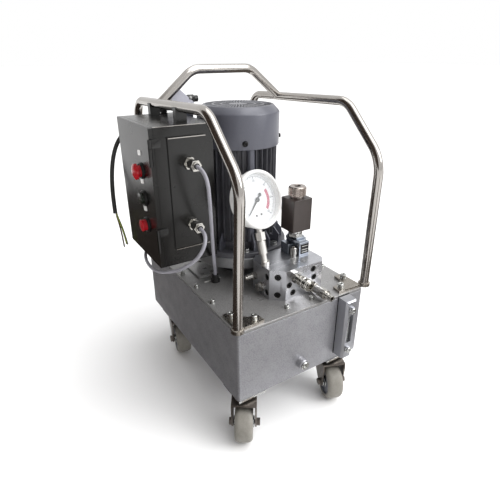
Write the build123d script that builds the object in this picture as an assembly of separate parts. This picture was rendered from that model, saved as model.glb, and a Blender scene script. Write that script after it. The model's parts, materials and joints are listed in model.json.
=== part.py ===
"""Wheeled electric hydraulic power unit with an axial piston pump in its tank (millimetres, +Z up)."""
from build123d import *
import math
import os

# Layout: X runs along the tank's front, Y to the back, Z up.
# The working origin is the tank's front left corner, FLOOR_Z under the floor; save() moves it to the
# centre of the footprint on the floor.
ORIGIN_X = 120.6
ORIGIN_Y = 197.3
FLOOR_Z = 12.0

TANK_W, TANK_D, TANK_WALL = 292.0, 419.0, 3.0
TANK_BOTTOM = 116.0
LID_TOP, LID_T = 267.0, 6.0
CORNER_R = 6.0

TUBE_R, TUBE_WALL = 8.6, 1.5
HOOP_KNEE_Z, HOOP_FRONT_Z, HOOP_BACK_Z = 522.0, 611.0, 602.0
HOOP_FRONT_Y, HOOP_BACK_Y, HOOP_FOOT_Y = 94.0, 414.0, 5.5
LEFT_FOOT_X, LEFT_TOP_X = 3.5, 8.0
RIGHT_FOOT_X, RIGHT_TOP_X = 300.0, 294.0

MOTOR_X, MOTOR_Y = 146.0, 234.0
BELL_Z, FLANGE_Z, BODY_Z, COWL_Z, COWL_TOP = 296.0, 319.0, 331.0, 529.0, 603.0
FLANGE_R, FIN_R, CORE_R, COWL_R = 99.0, 76.0, 66.0, 80.0
FIN_COUNT, FIN_T = 36, 2.4
RIB_COUNT, RIB_START, RIB_T = 16, 11.0, 3.6
BOLT_COUNT, BOLT_CIRCLE_R = 8, 88.0
SLOT_COUNT = 24
SHAFT_R, PUMP_SHAFT_R = 9.5, 8.0
COUPLING_R = 24.0
PISTONS, PISTON_R, PISTON_CIRCLE_R = 7, 5.0, 18.0

BLOCK_TOP = 329.0
BLOCK_X0, BLOCK_X1 = 106.0, 226.0
BLOCK_Y0, BLOCK_SEAM, BLOCK_Y1 = 41.0, 78.0, 130.0
PLUG_R = 6.4

GAUGE_FOOT = (112.5, 84.0, BLOCK_TOP)
GAUGE_LEAN, GAUGE_TURN, GAUGE_TILT = 20.0, 10.0, 3.5
GAUGE_R, GAUGE_RISE = 54.0, 123.0

VALVE_X, VALVE_Y = 193.5, 100.0
COIL_Z0, COIL_Z1 = 381.0, 444.0

FEMALE_X, FEMALE_Z = 147.5, 315.0
MALE_X, MALE_Z = 192.0, 281.0

BOX_X0, BOX_X1, BOX_Y0, BOX_Y1, BOX_Z0, BOX_Z1 = -52.0, 55.0, 168.0, 335.0, 332.0, 583.0
DOOR_T, DOOR_GAP, BOX_WALL = 8.0, 0.4, 4.0
HINGE_X, HINGE_Y = BOX_X0 - DOOR_GAP - DOOR_T, BOX_Y0 - 2
BARREL_Z = (365.0, 520.0)
GLAND_PLACES = ((5.5, 520.0), (5.5, 409.0))
BACK_GLAND_PLACES = ((-22.0, 556.0), (-22.0, 346.0))
STRAP_Y = (196.0, 318.0)
BUTTON_Y = 221.0
BUTTON_Z = (503.0, 453.0, 402.0)

WHEEL_R, WHEEL_W, HUB_W, TRAIL = 37.5, 34.0, 40.0, 28.0
AXLE_Z = FLOOR_Z + WHEEL_R
CASTERS = {
    "front_left": (34.0, 34.0, -124.0),
    "front_right": (246.0, 33.0, -112.0),
    "rear_left": (34.0, 348.0, -104.0),
    "rear_right": (258.0, 348.0, 35.0),
}

CABLE_D, CORD_D = 6.6, 8.6
FIT = 0.08

UP = (Align.CENTER, Align.CENTER, Align.MIN)
TURN = {"+Z": Rot(0, 0, 0), "-Z": Rot(180, 0, 0), "-Y": Rot(90, 0, 0),
        "+Y": Rot(-90, 0, 0), "+X": Rot(0, 90, 0), "-X": Rot(0, -90, 0)}


def save(name, shape):
    """Write one sub-part in the part's own frame."""
    export_step(Pos(-ORIGIN_X, -ORIGIN_Y, -FLOOR_Z) * shape, f"parts/{name}.step")


def block(x0, x1, y0, y1, z0, z1):
    """A box given by its two corners."""
    middle = Pos((x0 + x1) / 2, (y0 + y1) / 2, (z0 + z1) / 2)
    return middle * Box(x1 - x0, y1 - y0, z1 - z0)


def rod(x, y, z, radius, length, way="+Z"):
    """A cylinder that starts at a point and runs one way."""
    return Pos(x, y, z) * TURN[way] * Cylinder(radius, length, align=UP)


def hexagon(x, y, z, across, length, way="+Z"):
    """A hexagonal bar that starts at a point, given across its flats."""
    outline = RegularPolygon(across / 2, 6, major_radius=False)
    return Pos(x, y, z) * TURN[way] * extrude(outline, length)


def prism(points, z0, z1):
    """A vertical prism on a plan outline."""
    return Pos(0, 0, z0) * extrude(make_face(Polyline(*points, close=True)), z1 - z0)


def group(parts):
    """Several solids of one node, kept apart."""
    return Compound(children=list(parts))


def pipe(points, radii, outer, wall=0.0):
    """A round bar or tube along straight runs joined by arcs."""
    path = FilletPolyline(*points, radius=radii)
    start = Plane(path @ 0, z_dir=path % 0)
    profile = start * Circle(outer)
    if wall:
        profile -= start * Circle(outer - wall)
    return sweep(profile, path=path)


def cord(name, points, diameter):
    """A cord's tube, each arc as large as its two runs allow."""
    steps = [Vector(*b) - Vector(*a) for a, b in zip(points, points[1:])]
    radii = []
    for before, after in zip(steps, steps[1:]):
        turn = math.radians(before.get_angle(after))
        radii.append(0.45 * min(before.length, after.length) / math.tan(turn / 2))
    path = FilletPolyline(*points, radius=radii)
    tube = sweep(Plane(path @ 0, z_dir=path % 0) * Circle(diameter / 2), path=path)
    section = math.pi * diameter ** 2 / 4
    print(name, "length", round(path.length, 1), "smallest radius", round(min(radii), 1),
          "volume ratio", round(tube.volume / (section * path.length), 4))
    return tube


def cap_screw(x, y, z, size, way="+Z"):
    """The head and a short shank of a socket cap screw; its seat is at the point."""
    head = rod(x, y, z, size * 0.75, size, way)
    socket = Pos(x, y, z) * TURN[way] * Pos(0, 0, size * 0.5) * extrude(
        RegularPolygon(size * 0.4, 6, major_radius=False), size)
    return head - socket


# ---------------------------------------------------------------- tank

def tank_shell():
    """Welded steel tank with an inward rim, and pads under its corners."""
    top = LID_TOP - LID_T
    outer = block(0, TANK_W, 0, TANK_D, TANK_BOTTOM, top)
    outer = fillet(outer.edges().filter_by(Axis.Z), CORNER_R)
    rim, t = 24.0, TANK_WALL
    cavity = block(t, TANK_W - t, t, TANK_D - t, TANK_BOTTOM + t, top - 5)
    mouth = block(rim, TANK_W - rim, rim, TANK_D - rim, TANK_BOTTOM + t, top + 1)
    shell = outer - cavity - mouth
    for x, y, _ in CASTERS.values():
        shell += block(x - 28, x + 28, y - 28, y + 28, TANK_BOTTOM - 6, TANK_BOTTOM)
    drain = rod(141, -1, 146.7, 5.0, 12, "+Y")
    return shell - drain


def lid_plate():
    """Tank lid with the opening that the bell housing's spigot drops into."""
    plate = block(0.8, TANK_W - 0.8, 0.8, TANK_D - 0.8, LID_TOP - LID_T, LID_TOP)
    plate = fillet(plate.edges().filter_by(Axis.Z), CORNER_R - 1)
    plate -= rod(MOTOR_X, MOTOR_Y, LID_TOP - LID_T - 1, 52.0, LID_T + 2)
    return plate


def hatch_plate():
    """Filler hatch cover beside the motor, with the recesses of its four screws."""
    plate = block(30, 74, 205, 279, LID_TOP, LID_TOP + 4)
    plate = fillet(plate.edges().filter_by(Axis.Z), 3)
    for x in (42.5, 63.5):
        plate -= rod(x, 214.5, LID_TOP + 1, 4.2, 5)
        plate -= rod(x, 269.5, LID_TOP + 1, 4.2, 5)
    return plate


def lid_screws():
    """Socket cap screws round the lid and at the hoop brackets."""
    places = [(11, 245), (11, 179), (11, 110), (118, 21), (176, 21), (11, 311)]
    places += [(TANK_W - 11, y) for y in (110, 179, 245, 311)]
    places += [(x, TANK_D - 11) for x in (90, 146, 202)]
    screws = [cap_screw(x, y, LID_TOP, 6.0) for x, y in places]
    for sx, sy in ((1, 1), (-1, 1), (1, -1), (-1, -1)):
        for dx, dy in ((12.5, 44.0), (44.0, 17.5)):
            x = dx if sx > 0 else TANK_W - dx
            y = dy if sy > 0 else TANK_D - dy
            screws.append(cap_screw(x, y, LID_TOP + 5, 8.0))
    return screws


def foot_brackets():
    """A gusset plate and a foot flange under each leg of the hoops."""
    plates = []
    for sx in (1, -1):
        for sy in (1, -1):
            outline = [(3, 3), (58, 6), (56, 26), (38, 28), (24, 40), (23, 58), (4, 58)]
            points = [(x if sx > 0 else TANK_W - x, y if sy > 0 else TANK_D - y) for x, y in outline]
            plate = prism(points, LID_TOP, LID_TOP + 5)
            foot_x = LEFT_FOOT_X if sx > 0 else RIGHT_FOOT_X
            foot_y = HOOP_FOOT_Y if sy > 0 else HOOP_BACK_Y
            plates.append(plate + rod(foot_x, foot_y, LID_TOP, 11.6, 6))
    return plates


def drain_plug():
    """Drain plug: threaded shank, round boss and hexagon head."""
    return (rod(141, 3, 146.7, 4.9, 3, "-Y") + rod(141, 0, 146.7, 9.8, 11, "-Y")
            + hexagon(141, -11, 146.7, 13.5, 6, "-Y"))


def level_gauge_frame():
    """Aluminium body of the level gauge, with a tall window and two banjo bolts."""
    body = block(227, 253, -25, 0, 132, 264)
    body = chamfer(body.edges().filter_by(Axis.Z).group_by(Axis.Y)[0], 4)
    body = chamfer(body.faces().sort_by(Axis.Z)[-1].edges().sort_by(Axis.Y)[0], 3)
    body -= block(233.5, 246.5, -26, -6, 168, 232)
    for z in (245.5, 153.5):
        body += hexagon(240, -25, z, 11.5, 5, "-Y")
    return body


def level_gauge_tube():
    """Clear sight tube in the window."""
    return rod(240, -15, 168, 6.2, 64)


# ---------------------------------------------------------------- tube frame

def hoop_points(foot_x, top_x):
    """Corners of one hoop from the front foot to the back foot."""
    return [(foot_x, HOOP_FOOT_Y, LID_TOP + 6), (top_x, 0, HOOP_KNEE_Z),
            (top_x, HOOP_FRONT_Y, HOOP_FRONT_Z), (top_x, HOOP_BACK_Y, HOOP_BACK_Z),
            (foot_x, HOOP_BACK_Y, LID_TOP + 6)]


def hoop(foot_x, top_x):
    """One side hoop of polished tube."""
    return pipe(hoop_points(foot_x, top_x), [70, 48, 36], TUBE_R, TUBE_WALL)


def handle_bar():
    """Rear push bar, its ends coped on the hoops' top tubes."""
    points = [(LEFT_TOP_X, 282, 606), (79, 288, 663), (216, 302, 663), (RIGHT_TOP_X, 308, 605)]
    bar = pipe(points, [46, 46], TUBE_R, TUBE_WALL)
    for foot_x, top_x in ((LEFT_FOOT_X, LEFT_TOP_X), (RIGHT_FOOT_X, RIGHT_TOP_X)):
        bar -= pipe(hoop_points(foot_x, top_x), [70, 48, 36], TUBE_R)
    return max(bar.solids(), key=lambda solid: solid.volume)


# ---------------------------------------------------------------- motor

def motor_rod(z, radius, length):
    """A cylinder on the motor's axis."""
    return rod(MOTOR_X, MOTOR_Y, z, radius, length)


def bell_housing():
    """Pale bell housing: a spigot through the lid under a wide flange."""
    bell = motor_rod(252, 50.0, BELL_Z - 252) + motor_rod(BELL_Z, 100.0, FLANGE_Z - BELL_Z)
    return bell - motor_rod(251, 32.0, FLANGE_Z - 250)


def motor_flange():
    """Drive end shield: flange, ribs and bearing seat."""
    shield = motor_rod(FLANGE_Z, FLANGE_R, 11) + motor_rod(FLANGE_Z, 70.0, 24)
    for k in range(RIB_COUNT):
        rib = block(0, 92, -RIB_T / 2, RIB_T / 2, FLANGE_Z + 5, FLANGE_Z + 44)
        rib = chamfer(rib.edges().filter_by(Axis.Y).sort_by(Axis.X)[-1], 14)
        shield += Pos(MOTOR_X, MOTOR_Y, 0) * Rot(0, 0, 360 / RIB_COUNT * k + RIB_START) * rib
    shield -= motor_rod(FLANGE_Z + 24, FIN_R + 2.5, 40)
    shield -= motor_rod(FLANGE_Z - 1, 26.0, 13) + motor_rod(FLANGE_Z, SHAFT_R + FIT, 40)
    return shield


def motor_housing():
    """Finned stator frame with lifting lugs and a closed top shield."""
    z0, z1 = FLANGE_Z + 24, COWL_Z + 12
    frame = motor_rod(z0, CORE_R, z1 - z0)
    for k in range(FIN_COUNT):
        fin = block(CORE_R - 3, FIN_R, -FIN_T / 2, FIN_T / 2, z0 + 4, COWL_Z - 2)
        frame += Pos(MOTOR_X, MOTOR_Y, 0) * Rot(0, 0, 360 / FIN_COUNT * k + 5) * fin
    for turn in (-12, 78, 168, 258):
        lug = block(CORE_R - 3, FIN_R + 1.5, -7, 7, z0 + 2, COWL_Z - 2)
        lug = chamfer(lug.edges().filter_by(Axis.Y).sort_by(Axis.X)[-1], 5)
        frame += Pos(MOTOR_X, MOTOR_Y, 0) * Rot(0, 0, turn) * lug
    frame -= motor_rod(z0 - 1, CORE_R - 4, z1 - z0 - 5)
    return frame - motor_rod(z1 - 8, SHAFT_R + FIT, 10)


def fan_cowl():
    """Sheet steel fan cowl with a sloped crown and slots in its top."""
    wall = 1.6
    top = COWL_TOP - 12
    cowl = motor_rod(COWL_Z, COWL_R, top - COWL_Z)
    cowl += Pos(MOTOR_X, MOTOR_Y, top) * Cone(COWL_R, COWL_R - 12, 12, align=UP)
    cowl -= motor_rod(COWL_Z - 1, COWL_R - wall, top - COWL_Z + 1)
    cowl -= Pos(MOTOR_X, MOTOR_Y, top) * Cone(COWL_R - wall, COWL_R - 12 - wall, 12 - wall, align=UP)
    for k in range(SLOT_COUNT):
        slot = block(22, 60, -1.8, 1.8, COWL_TOP - 5, COWL_TOP + 1)
        cowl -= Pos(MOTOR_X, MOTOR_Y, 0) * Rot(0, 0, 360 / SLOT_COUNT * k) * slot
    return cowl


def motor_stator():
    """Stator pack pressed in the frame."""
    return motor_rod(396, CORE_R - 4, 84) - motor_rod(395, 36.4, 86)


def motor_rotor():
    """Rotor pack on the motor shaft."""
    return motor_rod(288, SHAFT_R, 288) + motor_rod(398, 36.0, 80)


def motor_fan():
    """Radial fan at the shaft's top end."""
    fan = motor_rod(546, 16.0, 28) + motor_rod(546, 62.0, 2.5)
    for k in range(8):
        blade = block(14, 62, -1.2, 1.2, 546, 572)
        fan += Pos(MOTOR_X, MOTOR_Y, 0) * Rot(0, 0, 45 * k) * blade
    return fan - motor_rod(545, SHAFT_R, 31)


def terminal_box():
    """Terminal box on a neck behind the motor's left side."""
    outline = [(28, 592), (82, 592), (82, 603), (50, 631), (45, 631), (28, 606)]
    face = make_face(Polyline(*[(x, 300, z) for x, z in outline], close=True))
    body = extrude(face, 52, dir=(0, 1, 0)) - block(20, 90, 328, 360, 606, 640)
    neck = block(62, 82, 300, 330, 480, 592) + block(78, 96, 276, 318, 480, 527)
    return body + neck - motor_rod(470, FIN_R + 1.5, 59.0) - motor_rod(COWL_Z, COWL_R + 0.5, 90)


def terminal_lid():
    """Pale cover plate on the terminal box's front."""
    outline = [(27, 591), (83, 591), (83, 603.5), (50.4, 632), (44.5, 632), (27, 606.3)]
    face = make_face(Polyline(*[(x, 300, z) for x, z in outline], close=True))
    return extrude(face, 4, dir=(0, -1, 0))


def terminal_glands():
    """Black plastic glands of the terminal box."""
    side = hexagon(74, 308.5, 609, 14, 14, "+X") + rod(88, 308.5, 609, 6.2, 8, "+X") - terminal_box()
    under = hexagon(36, 341, 592, 14, 9, "-Z") + rod(36, 341, 583, 5.8, 6, "-Z")
    return [side, under]


def motor_screws():
    """Cowl screws, and flange bolts that stand midway between the ribs."""
    screws = []
    for turn in (-112, -22, 68, 158):
        place = Pos(MOTOR_X, MOTOR_Y, COWL_Z + 12) * Rot(0, 0, turn) * Pos(COWL_R, 0, 0) * Rot(0, 90, 0)
        screws.append(place * Cylinder(4.2, 4, align=UP))
    for k in range(BOLT_COUNT):
        turn = RIB_START + 180 / RIB_COUNT + 360 / BOLT_COUNT * k
        place = Pos(MOTOR_X, MOTOR_Y, FLANGE_Z + 11) * Rot(0, 0, turn) * Pos(BOLT_CIRCLE_R, 0, 0)
        screws.append(place * extrude(RegularPolygon(6.5, 6, major_radius=False), 6.5))
    return screws


def coupling():
    """Two coupling hubs on their shafts with an elastomer spider between them."""
    upper = motor_rod(291, COUPLING_R, 24) - motor_rod(290, SHAFT_R, 26)
    lower = motor_rod(261, COUPLING_R, 24) - motor_rod(260, PUMP_SHAFT_R, 26)
    spider = motor_rod(285, COUPLING_R - 1, 6) - motor_rod(284, SHAFT_R + 1, 8)
    return group([upper, spider, lower])


# ---------------------------------------------------------------- pump

def pump_housing():
    """Cast pump body hanging under the bell housing."""
    body = motor_rod(160, 43.0, 80) + motor_rod(240, 50.0, 12)
    return body - motor_rod(159, 34.0, 77) - motor_rod(235, PUMP_SHAFT_R + FIT, 18)


def pump_cover():
    """Port block that closes the pump, with the valve plate's face and its side port."""
    cover = motor_rod(138, 43.0, 22) + motor_rod(160, 28.0, 4.6)
    return cover - motor_rod(150, PUMP_SHAFT_R + FIT, 16)


def swash_plate():
    """Swash plate in its neutral position."""
    return motor_rod(227.3, 33.0, 8.7) - motor_rod(227, PUMP_SHAFT_R + 2, 10)


def cylinder_block():
    """Rotating cylinder block with its ring of bores."""
    barrel = motor_rod(165, 28.0, 42) - motor_rod(164, PUMP_SHAFT_R, 44)
    for k in range(PISTONS):
        turn = math.radians(360 / PISTONS * k)
        x = MOTOR_X + PISTON_CIRCLE_R * math.cos(turn)
        y = MOTOR_Y + PISTON_CIRCLE_R * math.sin(turn)
        barrel -= rod(x, y, 172, PISTON_R, 40)
    return barrel


def pistons():
    """Ring of pistons, each with its slipper."""
    parts = []
    for k in range(PISTONS):
        turn = math.radians(360 / PISTONS * k)
        x = MOTOR_X + PISTON_CIRCLE_R * math.cos(turn)
        y = MOTOR_Y + PISTON_CIRCLE_R * math.sin(turn)
        parts.append(rod(x, y, 182, PISTON_R, 41) + rod(x, y, 223, 7.0, 4))
    return parts


def pump_shaft():
    """Pump shaft from the port block up into the coupling."""
    return motor_rod(151, PUMP_SHAFT_R, 134)


def pump_pipes():
    """Suction strainer, pressure pipe to the manifold and return pipe."""
    port_z = 149
    strainer = (rod(MOTOR_X, MOTOR_Y + 43, port_z, 8.0, 14, "+Y")
                + rod(MOTOR_X, MOTOR_Y + 57, port_z, 24.0, 70, "+Y"))
    route = [(MOTOR_X, MOTOR_Y - 43, port_z), (MOTOR_X, 120, port_z), (MOTOR_X, 120, 261)]
    pressure = pipe(route, [18], 6.0)
    back = rod(200, 110, 135, 7.0, 126)
    return group([strainer, pressure, back])


# ---------------------------------------------------------------- manifold

def manifold_front():
    """Front manifold block with chamfered corners."""
    outline = [(BLOCK_X0, 61), (130, BLOCK_Y0), (216, BLOCK_Y0), (BLOCK_X1, 54),
               (BLOCK_X1, BLOCK_SEAM), (BLOCK_X0, BLOCK_SEAM)]
    body = prism(outline, LID_TOP, BLOCK_TOP)
    for place, depth in plug_places():
        body -= place * Pos(0, 0, -depth) * Cylinder(PLUG_R, depth + 1, align=UP)
    return body


def manifold_rear():
    """Rear manifold block under the valve."""
    outline = [(BLOCK_X0, BLOCK_SEAM), (BLOCK_X1, BLOCK_SEAM), (BLOCK_X1, 122),
               (218, BLOCK_Y1), (120, BLOCK_Y1), (BLOCK_X0, 116)]
    return prism(outline, LID_TOP, BLOCK_TOP)


def plug_places():
    """Places of the manifold's socket plugs, with the outward way as their own +Z."""
    left = math.degrees(math.atan2(-24, -20))
    right = math.degrees(math.atan2(-10, 13))
    spots = [(118, 51, 315, left), (118, 51, 278, left), (138, BLOCK_Y0, 298, -90),
             (147, BLOCK_Y0, 280, -90), (194, BLOCK_Y0, 317, -90), (197, BLOCK_Y0, 299, -90),
             (221, 47.5, 315, right), (221, 47.5, 276, right),
             (BLOCK_X0, 69.5, 312, 180), (BLOCK_X0, 69.5, 279, 180)]
    return [(Pos(x, y, z) * Rot(0, 0, turn) * Rot(0, 90, 0), 4.0) for x, y, z, turn in spots]


def manifold_plugs():
    """Blackened hexagon socket plugs, just below the faces of the block."""
    plugs = []
    for place, depth in plug_places():
        plug = Cylinder(PLUG_R, depth - 0.6, align=UP)
        plug -= Pos(0, 0, 1.0) * extrude(RegularPolygon(3.0, 6, major_radius=False), depth)
        plugs.append(place * Pos(0, 0, -depth) * plug)
    return group(plugs)


def manifold_fittings():
    """Plated test point and hexagon plug on the manifold's left side."""
    test_point = (hexagon(BLOCK_X0, 108, 298, 14, 9, "-X") + rod(BLOCK_X0 - 9, 108, 298, 6.0, 11, "-X")
                  + rod(BLOCK_X0 - 20, 108, 298, 4.5, 4, "-X"))
    plug = rod(BLOCK_X0, 88, 283, 9.5, 2.5, "-X") + hexagon(BLOCK_X0 - 2.5, 88, 283, 14, 7, "-X")
    return group([test_point, plug])


def coupler_female():
    """Female quick coupler: hexagon, body and open mouth."""
    y = BLOCK_Y0
    body = hexagon(FEMALE_X, y, FEMALE_Z, 19, 11, "-Y") + rod(FEMALE_X, y - 11, FEMALE_Z, 8.0, 38, "-Y")
    body += rod(FEMALE_X, y - 11, FEMALE_Z, 9.4, 10, "-Y")
    return body - rod(FEMALE_X, y - 50, FEMALE_Z, 4.6, 14, "+Y")


def coupler_sleeve():
    """Sliding locking sleeve round the female coupler."""
    y = BLOCK_Y0 - 27
    sleeve = rod(FEMALE_X, y, FEMALE_Z, 10.8, 19, "-Y")
    sleeve = fillet(sleeve.edges().filter_by(GeomType.CIRCLE), 1.2)
    return sleeve - rod(FEMALE_X, y + 1, FEMALE_Z, 8.0 + FIT, 21, "-Y")


def coupler_male():
    """Male quick coupler nipple with its threaded collar."""
    y = BLOCK_Y0
    body = hexagon(MALE_X, y, MALE_Z, 19, 11, "-Y") + rod(MALE_X, y - 11, MALE_Z, 8.0, 14, "-Y")
    body += rod(MALE_X, y - 25, MALE_Z, 9.6, 18, "-Y") + rod(MALE_X, y - 43, MALE_Z, 7.2, 6, "-Y")
    body += rod(MALE_X, y - 49, MALE_Z, 5.8, 10, "-Y")
    return body - rod(MALE_X, y - 60, MALE_Z, 3.4, 16, "+Y")


# ---------------------------------------------------------------- gauge

def gauge_frame():
    """The gauge's own leaning and turned frame: +Z up its stem, -Y out of its face."""
    return Pos(*GAUGE_FOOT) * Rot(0, GAUGE_TILT, 0) * Rot(0, 0, GAUGE_TURN) * Rot(-GAUGE_LEAN, 0, 0)


def gauge_stem():
    """Adapter, snubber and hexagon that carry the gauge."""
    adapter = rod(GAUGE_FOOT[0], GAUGE_FOOT[1], GAUGE_FOOT[2], 8.0, 9)
    leaning = rod(0, 0, 3, 5.5, 19) + rod(0, 0, 22, 8.2, 24) + rod(0, 0, 46, 5.5, 4)
    leaning += hexagon(0, 0, 48, 17, 15) + rod(0, 0, 63, 6.0, 6)
    return adapter + gauge_frame() * leaning


def gauge_case():
    """Gauge case with a wide bezel, open at the front."""
    case = rod(0, -12, GAUGE_RISE, GAUGE_R - 3.5, 21, "+Y") + rod(0, -22, GAUGE_RISE, GAUGE_R, 11, "+Y")
    case = fillet(case.edges().filter_by(GeomType.CIRCLE).sort_by(Axis.Y)[0], 2.5)
    case -= rod(0, -23, GAUGE_RISE, GAUGE_R - 6, 16, "+Y")
    flat = rod(0, 0, 60, 6.0, 9)
    return gauge_frame() * (case - flat)


def gauge_dial():
    """Dial plate at the bottom of the case, with the pointer's arbor."""
    dial = rod(0, -8.2, GAUGE_RISE, GAUGE_R - 6.2, 1.2, "+Y") + rod(0, -13.5, GAUGE_RISE, 1.2, 6, "+Y")
    return gauge_frame() * dial


def gauge_pointer():
    """Pointer at its zero stop, low on the left."""
    outline = [(-1.0, -13), (1.0, -13), (1.6, 0), (0.5, 35), (-0.5, 35), (-1.6, 0)]
    pointer = extrude(make_face(Polyline(*outline, close=True)), 1.0) + Cylinder(4.2, 2.4, align=UP)
    pointer += Pos(0, -12, 0) * extrude(Circle(3.2), 1.0)
    pointer -= Pos(0, 0, -1) * Cylinder(1.2 + FIT, 5, align=UP)
    return gauge_frame() * Pos(0, -10.0, GAUGE_RISE) * Rot(90, 0, 0) * Rot(0, 0, 135) * pointer


# ---------------------------------------------------------------- valve

def valve_body():
    """Valve body on the manifold, with the cartridge that carries the coil."""
    body = block(VALVE_X - 20, VALVE_X + 19, 79, 122, BLOCK_TOP, 357)
    body = chamfer(body.edges().filter_by(Axis.Z), 3)
    body += block(VALVE_X - 8, VALVE_X + 14, 80, 118, 357, 366)
    body += hexagon(VALVE_X, VALVE_Y, 366, 26, 6) + rod(VALVE_X, VALVE_Y, 372, 13.5, 9)
    return body + rod(VALVE_X, VALVE_Y, 381, 8.0, 68) - rod(VALVE_X, VALVE_Y, 449.5, 8.0, 4)


def solenoid_coil():
    """Square moulded coil."""
    coil = block(VALVE_X - 22, VALVE_X + 22, VALVE_Y - 20, VALVE_Y + 20, COIL_Z0, COIL_Z1)
    coil = fillet(coil.edges().filter_by(Axis.Z), 2.5)
    return coil - rod(VALVE_X, VALVE_Y, COIL_Z0 - 1, 8.0, 80)


def coil_nut():
    """Knurled nut that clamps the coil."""
    nut = rod(VALVE_X, VALVE_Y, COIL_Z1, 13.0, 4) + rod(VALVE_X, VALVE_Y, COIL_Z1 + 4, 17.0, 18)
    nut = fillet(nut.edges().filter_by(GeomType.CIRCLE).sort_by(Axis.Z)[-1], 1.5)
    return nut - rod(VALVE_X, VALVE_Y, COIL_Z1 - 1, 8.0, 6)


# ---------------------------------------------------------------- control box

def control_box():
    """Control box body, open towards its door, with a raised gland plate."""
    body = block(BOX_X0, BOX_X1, BOX_Y0, BOX_Y1, BOX_Z0, BOX_Z1)
    body = fillet(body.edges().filter_by(Axis.X), 3)
    body += block(-30, 38, BOX_Y0 - 3, BOX_Y0, 365, 564)
    w = BOX_WALL
    body -= block(BOX_X0 - 1, BOX_X1 - w, BOX_Y0 + w, BOX_Y1 - w, BOX_Z0 + w, BOX_Z1 - w)
    for x, z in GLAND_PLACES:
        body -= rod(x, BOX_Y0 - 4, z, 6.0, 10, "+Y")
    for z in BARREL_Z:
        body += rod(HINGE_X, HINGE_Y, z + 30.3, 3.5, 14)
        body += block(HINGE_X, BOX_X0 + 10, HINGE_Y - 1.5, HINGE_Y + 1.5, z + 30.3, z + 44.3)
        body += block(BOX_X0 + 2, BOX_X0 + 10, HINGE_Y, BOX_Y0 + 1, z + 30.3, z + 44.3)
    return body


def box_door():
    """Hinged door of the control box, with its hinge barrels and button holes."""
    x1 = BOX_X0 - DOOR_GAP
    door = block(x1 - DOOR_T, x1, BOX_Y0, BOX_Y1, BOX_Z0, BOX_Z1)
    door = fillet(door.edges().filter_by(Axis.X), 3)
    for z in BUTTON_Z:
        door -= rod(x1 + 1, BUTTON_Y, z, 11.2, DOOR_T + 2, "-X")
    for z in BARREL_Z:
        door += rod(HINGE_X, HINGE_Y, z, 3.5, 30)
        door += block(HINGE_X, HINGE_X + 3.5, HINGE_Y, BOX_Y0 + 2, z, z + 30)
        door -= rod(HINGE_X, HINGE_Y, z + 30, 4.2, 14.6)
    return door


def button_bezels():
    """Bright bezel rings and legend plates on the door."""
    face = BOX_X0 - DOOR_GAP - DOOR_T
    parts = []
    for z in BUTTON_Z:
        parts.append(rod(face, BUTTON_Y, z, 14.5, 3.5, "-X") - rod(face + 1, BUTTON_Y, z, 11.2, 6, "-X"))
        parts.append(block(face - 1, face, BUTTON_Y - 5, BUTTON_Y + 7, z + 27, z + 36))
    return group(parts)


def button(z, cap_r, cap_t, reach):
    """A push button: stem through the door and a cap that stands off its bezel."""
    face = BOX_X0 - DOOR_GAP - DOOR_T
    stem = rod(face + DOOR_T, BUTTON_Y, z, 10.8, DOOR_T + reach, "-X")
    cap = rod(face - reach, BUTTON_Y, z, cap_r, cap_t, "-X")
    cap = fillet(cap.edges().filter_by(GeomType.CIRCLE).sort_by(Axis.X)[0], min(3.0, cap_t / 2.5))
    return stem + cap


def box_glands():
    """Plated cable glands: two on the gland plate and two on the box's back."""
    glands = []
    for x, z in GLAND_PLACES:
        y = BOX_Y0 - 3
        gland = rod(x, y + 5, z, 6.0, 5, "-Y") + hexagon(x, y, z, 20, 6, "-Y")
        gland += rod(x, y - 6, z, 8.6, 12, "-Y") + hexagon(x, y - 18, z, 18, 11, "-Y")
        glands.append(gland + rod(x, y - 29, z, 7.0, 3, "-Y"))
    for x, z in BACK_GLAND_PLACES:
        gland = hexagon(x, BOX_Y1, z, 16, 6, "+Y") + rod(x, BOX_Y1 + 6, z, 6.6, 8, "+Y")
        glands.append(gland)
    return group(glands)


def box_brackets():
    """Straps that hang the control box from the left hoop."""
    parts = []
    slope = (HOOP_FRONT_Z - HOOP_BACK_Z) / (HOOP_BACK_Y - HOOP_FRONT_Y)
    for y in STRAP_Y:
        z = HOOP_FRONT_Z - slope * (y - HOOP_FRONT_Y)
        strap = block(LEFT_TOP_X - 10, LEFT_TOP_X + 10, y - 6, y + 6, BOX_Z1, z)
        parts.append(strap - hoop_core())
    return parts


def hoop_core():
    """Solid bar of the left hoop, used to cope the straps."""
    return pipe(hoop_points(LEFT_FOOT_X, LEFT_TOP_X), [70, 48, 36], TUBE_R)


# ---------------------------------------------------------------- casters

def caster_plates():
    """Top plates of the four casters under the tank's pads."""
    plates = []
    for x, y, _ in CASTERS.values():
        plate = block(x - 30, x + 30, y - 30, y + 30, 106, 110)
        plate += rod(x, y, 102, 21.0, 4)
        plates.append(plate - rod(x, y, 101, 6.0 + FIT, 10))
    return group(plates)


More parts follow.
